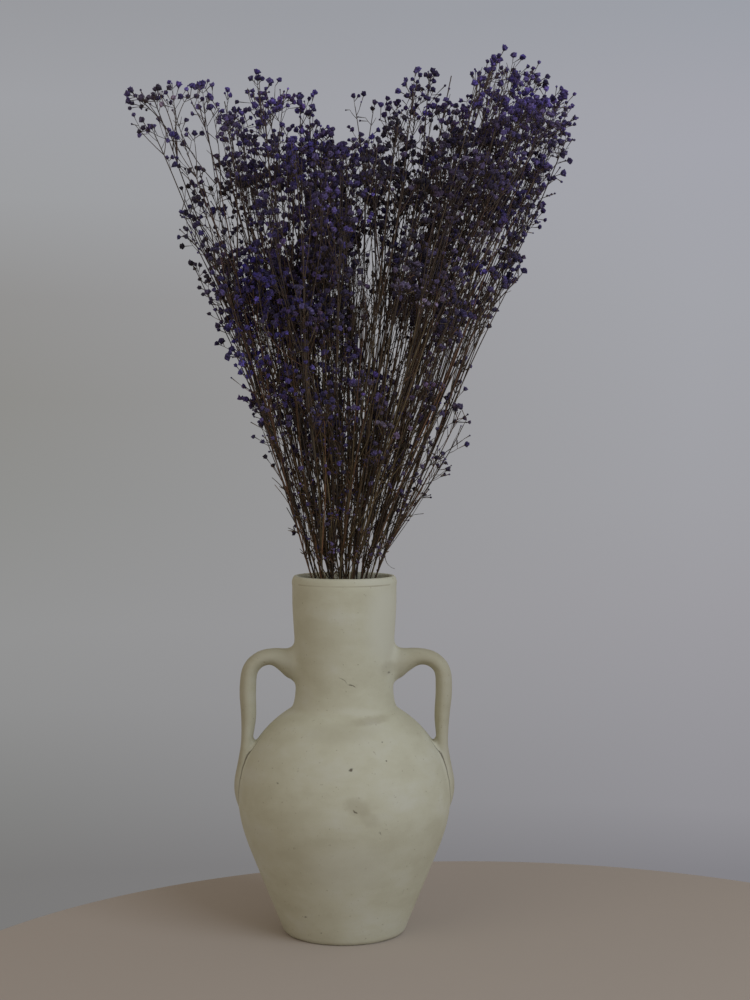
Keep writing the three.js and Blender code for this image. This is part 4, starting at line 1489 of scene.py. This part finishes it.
form_rng = np.random.default_rng(FORM_SEED)
FORMS = [floret_form(form_rng, CRUMPLE) for _ in range(VARIANTS)] + [bud_form()]
print("a floret has", sum(len(face) for face in FORMS[0][1]), "faces and a bud",
      sum(len(face) for face in FORMS[-1][1]))

# %% [markdown]
# ## Colours of the dye
#
# The bunch was dyed violet, and the dye took unevenly: some sprays are a strong blue violet,
# others nearly black, others faded to a greyish mauve, and the flowers of one spray are alike.
# Each floret gets its own colour, stored on its points as a colour attribute, from a few soft
# zones in the bunch, a draw for its spray and a draw of its own.

# %% Dye zones
DYE = {
    "violet": "53468a",
    "blue": "392e94",
    "black": "242029",
    "dusk": "45404b",
    "lilac": "7668ac",
    "mauve": "7a6e82",
    "brown": "5a4a4c",
    "red": "623c6a",
}
# The share of violet in the base colour at each height; the rest is the greyer dusk tone. The
# greyer base lower down is partly the dye's own colour and partly painted shade within the bunch.
VIOLET_SHARE = np.array([[300, 0.5], [600, 0.25], [650, 0.4], [695, 0.95], [740, 1.0]])
# Centre across and up, radius, colour and strength of each zone, in millimetres.
DYE_ZONES = [
    (-66, 540, 44, "violet", 0.5),
    (-72, 506, 34, "blue", 0.7),
    (-80, 560, 22, "blue", 0.6),
    (-62, 458, 30, "blue", 0.5),
    (-34, 548, 26, "black", 0.5),
    (-12, 384, 20, "blue", 0.6),
    (12, 470, 24, "blue", 0.7),
    (-2, 590, 26, "lilac", 0.75),
    (-4, 630, 24, "violet", 0.7),
    (113, 543, 22, "violet", 0.7),
    (-40, 640, 40, "violet", 0.5),
    (62, 640, 48, "black", 0.85),
    (30, 560, 34, "black", 0.5),
    (70, 600, 30, "black", 0.5),
    (-122, 622, 34, "black", 0.9),
    (150, 680, 46, "lilac", 0.5),
    (146, 700, 24, "blue", 0.4),
    (168, 600, 36, "violet", 0.7),
    (-150, 690, 42, "mauve", 0.7),
    (-124, 545, 30, "dusk", 0.8),
    (70, 400, 40, "mauve", 0.5),
    (48, 520, 30, "mauve", 0.7),
    (30, 440, 40, "mauve", 0.6),
    (96, 560, 36, "mauve", 0.4),
    (20, 325, 30, "mauve", 0.6),
]
# Dyes that a spray may draw, and the most that it then gets of each.
SPRAY_DRAWS = (("brown", 0.45), ("red", 0.35), ("blue", 0.5), ("black", 0.6), ("dusk", 0.5))
# The share of sprays that draw one, and how much of it each floret of the spray takes.
SHARE_THAT_DRAWS = 0.3
TAKEN_BY_FLORET = (0.6, 1)
# The luck of a spray is a factor of its violet and of each zone's strength. Below 0 it gives none.
VIOLET_LUCK = (0.5, 1.4)
ZONE_LUCK = (-0.2, 1.5)
# How much brightness varies, as the spread of its logarithm.
BRIGHTNESS_SPREAD = {"spray": 0.22, "floret": 0.25}


def blended(colour, name, share):
    """Each colour moved towards a named dye by its own share."""
    return colour * (1 - share[:, None]) + np.array(linear(DYE[name])[:3]) * share[:, None]


def dye_of(places, spray, rng):
    """Linear colours (n, 3): dusk and violet by height, blended towards each zone's colour by its
    strength times exp(-(distance / radius) squared), then by the draws of each spray."""
    colour = np.tile(linear(DYE["dusk"])[:3], (len(places), 1))
    count = spray.max() + 1
    violet = np.interp(places[:, 2], VIOLET_SHARE[:, 0], VIOLET_SHARE[:, 1])
    luck = rng.uniform(*VIOLET_LUCK, count)[spray]
    colour = blended(colour, "violet", np.clip(luck * violet, 0, 1))
    for x, z, radius, name, strength in DYE_ZONES:
        distance = np.hypot(places[:, 0] - x, places[:, 2] - z)
        luck = rng.uniform(*ZONE_LUCK, count)[spray]
        share = np.clip(strength * luck * np.exp(-((distance / radius) ** 2)), 0, 1)
        colour = blended(colour, name, share)
    for name, most in SPRAY_DRAWS:
        drawn = most * rng.random(count) * (rng.random(count) < SHARE_THAT_DRAWS)
        colour = blended(colour, name, drawn[spray] * rng.uniform(*TAKEN_BY_FLORET, len(places)))
    bright = rng.normal(0, BRIGHTNESS_SPREAD["spray"], count)[spray]
    return colour * np.exp(bright + rng.normal(0, BRIGHTNESS_SPREAD["floret"], len(places)))[:, None]


WOOD = ["5c4a34", "4a3b2d", "664a35", "64573e", "3d3129", "332b25"]
WOOD_LINEAR = np.array([linear(code)[:3] for code in WOOD])
STAINED_WOOD = np.array(linear("504545")[:3])
# Between these heights the stain grows from none to its most.
STAIN_HEIGHTS = (380, 660)
MOST_STAIN = 0.7


def wood_tones(points, wood):
    """The wood's own colour, stained by the dye towards the top of the bunch."""
    share = MOST_STAIN * np.interp(points[:, 2], STAIN_HEIGHTS, (0, 1))[:, None]
    return wood * (1 - share) + STAINED_WOOD * share


def coloured(made, colours):
    """Stores a colour for each point of a mesh in an attribute called tone."""
    tone = made.data.color_attributes.new("tone", "FLOAT_COLOR", "POINT")
    filled = np.concatenate([colours, np.ones((len(colours), 1))], 1)
    tone.data.foreach_set("color", filled.astype(np.float32).ravel())


print("dye zones:", len(DYE_ZONES))

# %% [markdown]
# The petals and the stems have two finishes that are made alike. Each takes the colour stored on
# its points and mottles it with a noise: in even patches on the papery petals, and in streaks
# along the straw-like stems, which are slightly waxy and so catch a weak, broad highlight.

# %% Finish of the stems and the petals
# The values of noise between which the stored colour goes from darkest to lightest.
MOTTLE_NOISE = (0.3, 0.7)
PETAL_MOTTLE_MM = 1.2
PETAL_CONTRAST = 0.35
# Real streaks are about a tenth of this wide, and are drawn coarser so that they show.
STREAK_MM = 1.0
STREAK_STRETCH = 10
STREAK_CONTRAST = 0.4
STREAK_RELIEF_MM = 0.1


def mottled(tree, size, stretch, detail, contrast):
    """The colour stored on the points, times a noise that goes from 1 less the contrast to 1 plus
    it, and the noise: its patches are a size wide in millimetres and stretched along Z."""
    tone = add(tree, "ShaderNodeAttribute", attribute_name="tone").outputs["Color"]
    place = add(tree, "ShaderNodeTexCoord").outputs["Object"]
    along = add(tree, "ShaderNodeMapping", {"Vector": place, "Scale": (1, 1, 1 / stretch)})
    noise = add(tree, "ShaderNodeTexNoise", {
        "Vector": along.outputs["Vector"], "Scale": 1 / (size * MM), "Detail": detail})
    light = add(tree, "ShaderNodeMapRange", {
        "Value": noise.outputs["Fac"], "From Min": MOTTLE_NOISE[0], "From Max": MOTTLE_NOISE[1],
        "To Min": 1 - contrast, "To Max": 1 + contrast})
    colour = add(tree, "ShaderNodeVectorMath", {0: tone, 1: light.outputs["Result"]},
                 operation="MULTIPLY")
    return colour.outputs["Vector"], noise.outputs["Fac"]


def petal_material():
    """Dyed dried petals: thin crumpled papery skin with no gloss, so a rough diffuse surface with
    a soft sheen at the edges. The colour is the floret's own, with a fine mottle."""
    material, tree, output = new_material("dyed_dried_petal")
    colour, _ = mottled(tree, PETAL_MOTTLE_MM, 1, 2.0, PETAL_CONTRAST)
    shader = add(tree, "ShaderNodeBsdfPrincipled", {
        "Base Color": colour, "Roughness": 0.88, "IOR": 1.45, "Specular IOR Level": 0.2,
        "Sheen Weight": 0.12, "Sheen Roughness": 0.5})
    tree.links.new(shader.outputs["BSDF"], output.inputs["Surface"])
    return material


def stem_material():
    """Dried stems: straw-like skin, olive to reddish brown, slightly waxy, with fine streaks and
    ridges along its length."""
    material, tree, output = new_material("dried_stem_skin")
    colour, streaks = mottled(tree, STREAK_MM, STREAK_STRETCH, 3.0, STREAK_CONTRAST)
    bump = add(tree, "ShaderNodeBump", {
        "Height": streaks, "Strength": 0.4, "Distance": STREAK_RELIEF_MM * MM})
    shader = add(tree, "ShaderNodeBsdfPrincipled", {
        "Base Color": colour, "Roughness": 0.7, "IOR": 1.5, "Specular IOR Level": 0.35,
        "Normal": bump.outputs["Normal"]})
    tree.links.new(shader.outputs["BSDF"], output.inputs["Surface"])
    return material


PETALS = petal_material()
STEM_SKIN = stem_material()
print("finishes:", PETALS.name, "and", STEM_SKIN.name)

# %% [markdown]
# Every stem of the frame is replaced by two pieces: its woody part, and its florets and buds.
# They are kept apart because they have different finishes, and each stem has its own pair, so
# that one stem can be lifted out or recoloured without touching the rest.

# %% Build every stem
GROWTH_SEED = 20
# Sides of the tubes: the wood and its bracts, and the hair-thin branchlets and pedicels.
WOOD_SIDES = 4
HAIR_SIDES = 3
WOOD_BRIGHTNESS_SPREAD = 0.25
# A bract is a pointed scale at a joint, widest in its middle.
BRACT = {"length": 5.5, "lean": 0.55, "varies": (0.5, 1.2)}
BRACT_RADII = (0.3, 0.55, 0.08)
BRANCHLET_RADII = (0.3, 0.26, 0.22)
# A pedicel swells towards the cup of its floret.
PEDICEL_RADII = (0.2, 0.45)


def twig_piece(name, growth, branchlets, pedicels, rng):
    """The wood of one stem: its lines, a pair of bracts at each joint, and its fine ends."""
    parts = []
    tones = []

    def put(lines, radii, sides):
        """Adds tubes, each with one of the wood's colours."""
        part = tubes(lines, np.broadcast_to(radii, lines.shape[:2]), sides)
        wood = WOOD_LINEAR[rng.integers(len(WOOD), size=len(lines))]
        wood = wood * np.exp(rng.normal(0, WOOD_BRIGHTNESS_SPREAD, (len(lines), 1)))
        each = np.repeat(wood, lines.shape[1] * sides, 0)
        parts.append(part)
        tones.append(wood_tones(part[0], each))

    for line, radii in growth.woody:
        put(line[None], radii, WOOD_SIDES)
    points, axes = (np.array([joint[k] for joint in growth.joints]) for k in (0, 1))
    count = len(points)
    turn = rng.uniform(0, 2 * math.pi, count)
    for half in (0, math.pi):
        length = BRACT["length"] * rng.uniform(*BRACT["varies"], count)
        lean = np.full(count, BRACT["lean"])
        bracts = leaning(points, unit(axes), turn + half, lean, length, len(BRACT_RADII))
        put(bracts, BRACT_RADII, WOOD_SIDES)
    put(branchlets, BRANCHLET_RADII, HAIR_SIDES)
    put(pedicels, PEDICEL_RADII, HAIR_SIDES)
    made = mesh_object(name, *joined(parts))
    coloured(made, np.concatenate(tones))
    made.data.materials.append(STEM_SKIN)
    return made


def floret_piece(name, pedicels, opened, sizes, spray, rng):
    """The florets and buds of one stem, each on the end of its pedicel and in line with it."""
    places = pedicels[:, -1]
    axes = unit(pedicels[:, -1] - pedicels[:, -2])
    turns = rng.uniform(0, 2 * math.pi, len(places))
    variant = np.where(opened, rng.integers(VARIANTS, size=len(places)), VARIANTS)
    dyes = dye_of(places, spray, rng)
    parts = []
    tones = []
    for number, form in enumerate(FORMS):
        chosen = variant == number
        if chosen.any():
            parts.append(scattered(form, places[chosen], axes[chosen], sizes[chosen], turns[chosen]))
            # Each point's colour is the floret's dye times its painted shade.
            shade = form[2][None, :, None] * dyes[chosen][:, None]
            tones.append(shade.reshape(-1, 3))
    made = mesh_object(name, *joined(parts), smooth=False)
    coloured(made, np.concatenate(tones))
    made.data.materials.append(PETALS)
    return made


totals = {"florets": 0, "buds": 0, "triangles": 0}
for stem, node in zip(stems, STEM_NODES):
    rng = np.random.default_rng(GROWTH_SEED + stem.index)
    growth = grow_lines(stem, rng)
    branchlets, pedicels, opened, sizes, spray = sprays(growth.ends, rng)
    twigs = twig_piece(node + "_twigs", growth, branchlets, pedicels, rng)
    florets = floret_piece(node + "_florets", pedicels, opened, sizes, spray, rng)
    for made, slot in ((twigs, "dried_stem"), (florets, "dyed_gypsophila")):
        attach(made, "root")
        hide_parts(node)
        totals["triangles"] += sum(len(face.vertices) - 2 for face in made.data.polygons)
    totals["florets"] += int(opened.sum())
    totals["buds"] += int((~opened).sum())
print(totals)

# %% [markdown]
# ## Floor, light and background
#
# The part is shown on a plain pale round table top, in the dim, soft light of the photograph: a
# wide cool lamp like a window at the front on the right, a weaker warm one on the left, and an
# even warm grey that fills the shadows. The camera itself sees a plain backdrop, which is two columns
# of grey that change slowly with height, one for its left side and one for its right. Its greys are
# painted shade of a wall: darker low down near the table, and on the left, away from the window.

# %% Table top
TABLE_RADIUS = 461
TABLE_CENTRE = (110, -226)
TABLE_THICKNESS = 14
TABLE_ROUNDING = 2
TABLE_BEVEL = 0.6
TABLE_SIDES = 180
TABLE_COLOUR = "c0b6ad"


def table_top():
    """A round slab under the vase with a bulging edge, its upper face at height zero."""
    rings = np.array([
        [1.0, -TABLE_THICKNESS],
        [TABLE_RADIUS, -TABLE_THICKNESS],
        [TABLE_RADIUS + TABLE_ROUNDING, -TABLE_THICKNESS / 2],
        [TABLE_RADIUS, -TABLE_BEVEL],
        [TABLE_RADIUS - TABLE_ROUNDING, 0],
        [1.0, 0],
    ])
    points, faces = skin(turned(rings, TABLE_SIDES))
    made = mesh_object("table_top", points + [*TABLE_CENTRE, 0], faces, smooth=False)
    material, tree, output = new_material("matt_pale_table_top")
    shader = add(tree, "ShaderNodeBsdfPrincipled", {
        "Base Color": linear(TABLE_COLOUR), "Roughness": 0.9, "Specular IOR Level": 0.2})
    tree.links.new(shader.outputs["BSDF"], output.inputs["Surface"])
    made.data.materials.append(material)
    return made


table_top()
print("table top:", 2 * TABLE_RADIUS, "mm wide")

# %% Lights
# Each lamp: place, the height on the axis that it looks at and its width in millimetres, its power
# in watts and its colour.
LAMPS = {
    "window": ((1350, -1600, 1400), 350, 1500, 21.5, "e7f1ff"),
    "room": ((-1300, -1500, 1500), 300, 1600, 4, "fff2e0"),
}

for name, (place, target_height, width, power, colour) in LAMPS.items():
    data = bpy.data.lights.new(name, "AREA")
    data.size = width * MM
    data.energy = power
    data.color = linear(colour)[:3]
    lamp = placed(name, data)
    lamp.location = [value * MM for value in place]
    direction = Vector((0, 0, target_height)) - Vector(place)
    lamp.rotation_euler = direction.to_track_quat("-Z", "Y").to_euler()
print("lights:", [one.name for one in bpy.data.lights])

# %% Background
# Colours of the backdrop up its left and its right side: the rise of the view direction that meets it,
# and the colour there.
BACKDROP = {
    "left": [(-0.24, "7a7978"), (-0.205, "828281"), (-0.149, "8f8f8f"), (-0.107, "939393"),
             (-0.034, "8f8f8d"), (0.024, "8e8d8a"), (0.081, "929190"), (0.137, "9d9ea0"),
             (0.19, "9fa0a4"), (0.24, "999a9e")],
    "right": [(-0.24, "838287"), (-0.205, "929196"), (-0.149, "98979c"), (-0.092, "9d9ca1"),
              (-0.034, "a0a0a5"), (0.081, "a3a4aa"), (0.164, "a4a5ad"), (0.19, "a3a4ac"),
              (0.24, "9da0a8")],
}
BACKDROP_RISE = 0.25
BACKDROP_SIDE = 0.2
FILL_COLOUR = "fff3e4"
FILL_STRENGTH = 0.28

world = bpy.data.worlds.new("grey room")
world.use_nodes = True
tree = world.node_tree
tree.nodes.clear()
direction = add(tree, "ShaderNodeTexCoord").outputs["Generated"]
view = add(tree, "ShaderNodeSeparateXYZ", {"Vector": direction})
sideways = add(tree, "ShaderNodeMapRange", {
    "Value": view.outputs["X"], "From Min": -BACKDROP_SIDE, "From Max": BACKDROP_SIDE})
upwards = add(tree, "ShaderNodeMapRange", {
    "Value": view.outputs["Z"], "From Min": -BACKDROP_RISE, "From Max": BACKDROP_RISE})
column = {}
for side, rows in BACKDROP.items():
    stops = [((rise + BACKDROP_RISE) / (2 * BACKDROP_RISE), code) for rise, code in rows]
    ramp = add(tree, "ShaderNodeValToRGB", {"Fac": upwards.outputs["Result"]}, stops)
    column[side] = ramp.outputs["Color"]
shade = add(tree, "ShaderNodeMix", {
    MIX["share"]: sideways.outputs["Result"], MIX["from"]: column["left"],
    MIX["to"]: column["right"]}, data_type="RGBA")
backdrop = add(tree, "ShaderNodeBackground", {"Color": shade.outputs[MIX["result"]]})
fill = add(tree, "ShaderNodeBackground", {"Color": linear(FILL_COLOUR), "Strength": FILL_STRENGTH})
seen = add(tree, "ShaderNodeLightPath").outputs["Is Camera Ray"]
both = add(tree, "ShaderNodeMixShader", {
    0: seen, 1: fill.outputs["Background"], 2: backdrop.outputs["Background"]})
add(tree, "ShaderNodeOutputWorld", {"Surface": both.outputs["Shader"]})
bpy.context.scene.world = world
bpy.context.scene.view_settings.view_transform = "Standard"
print("backdrop colours:", {side: len(rows) for side, rows in BACKDROP.items()})
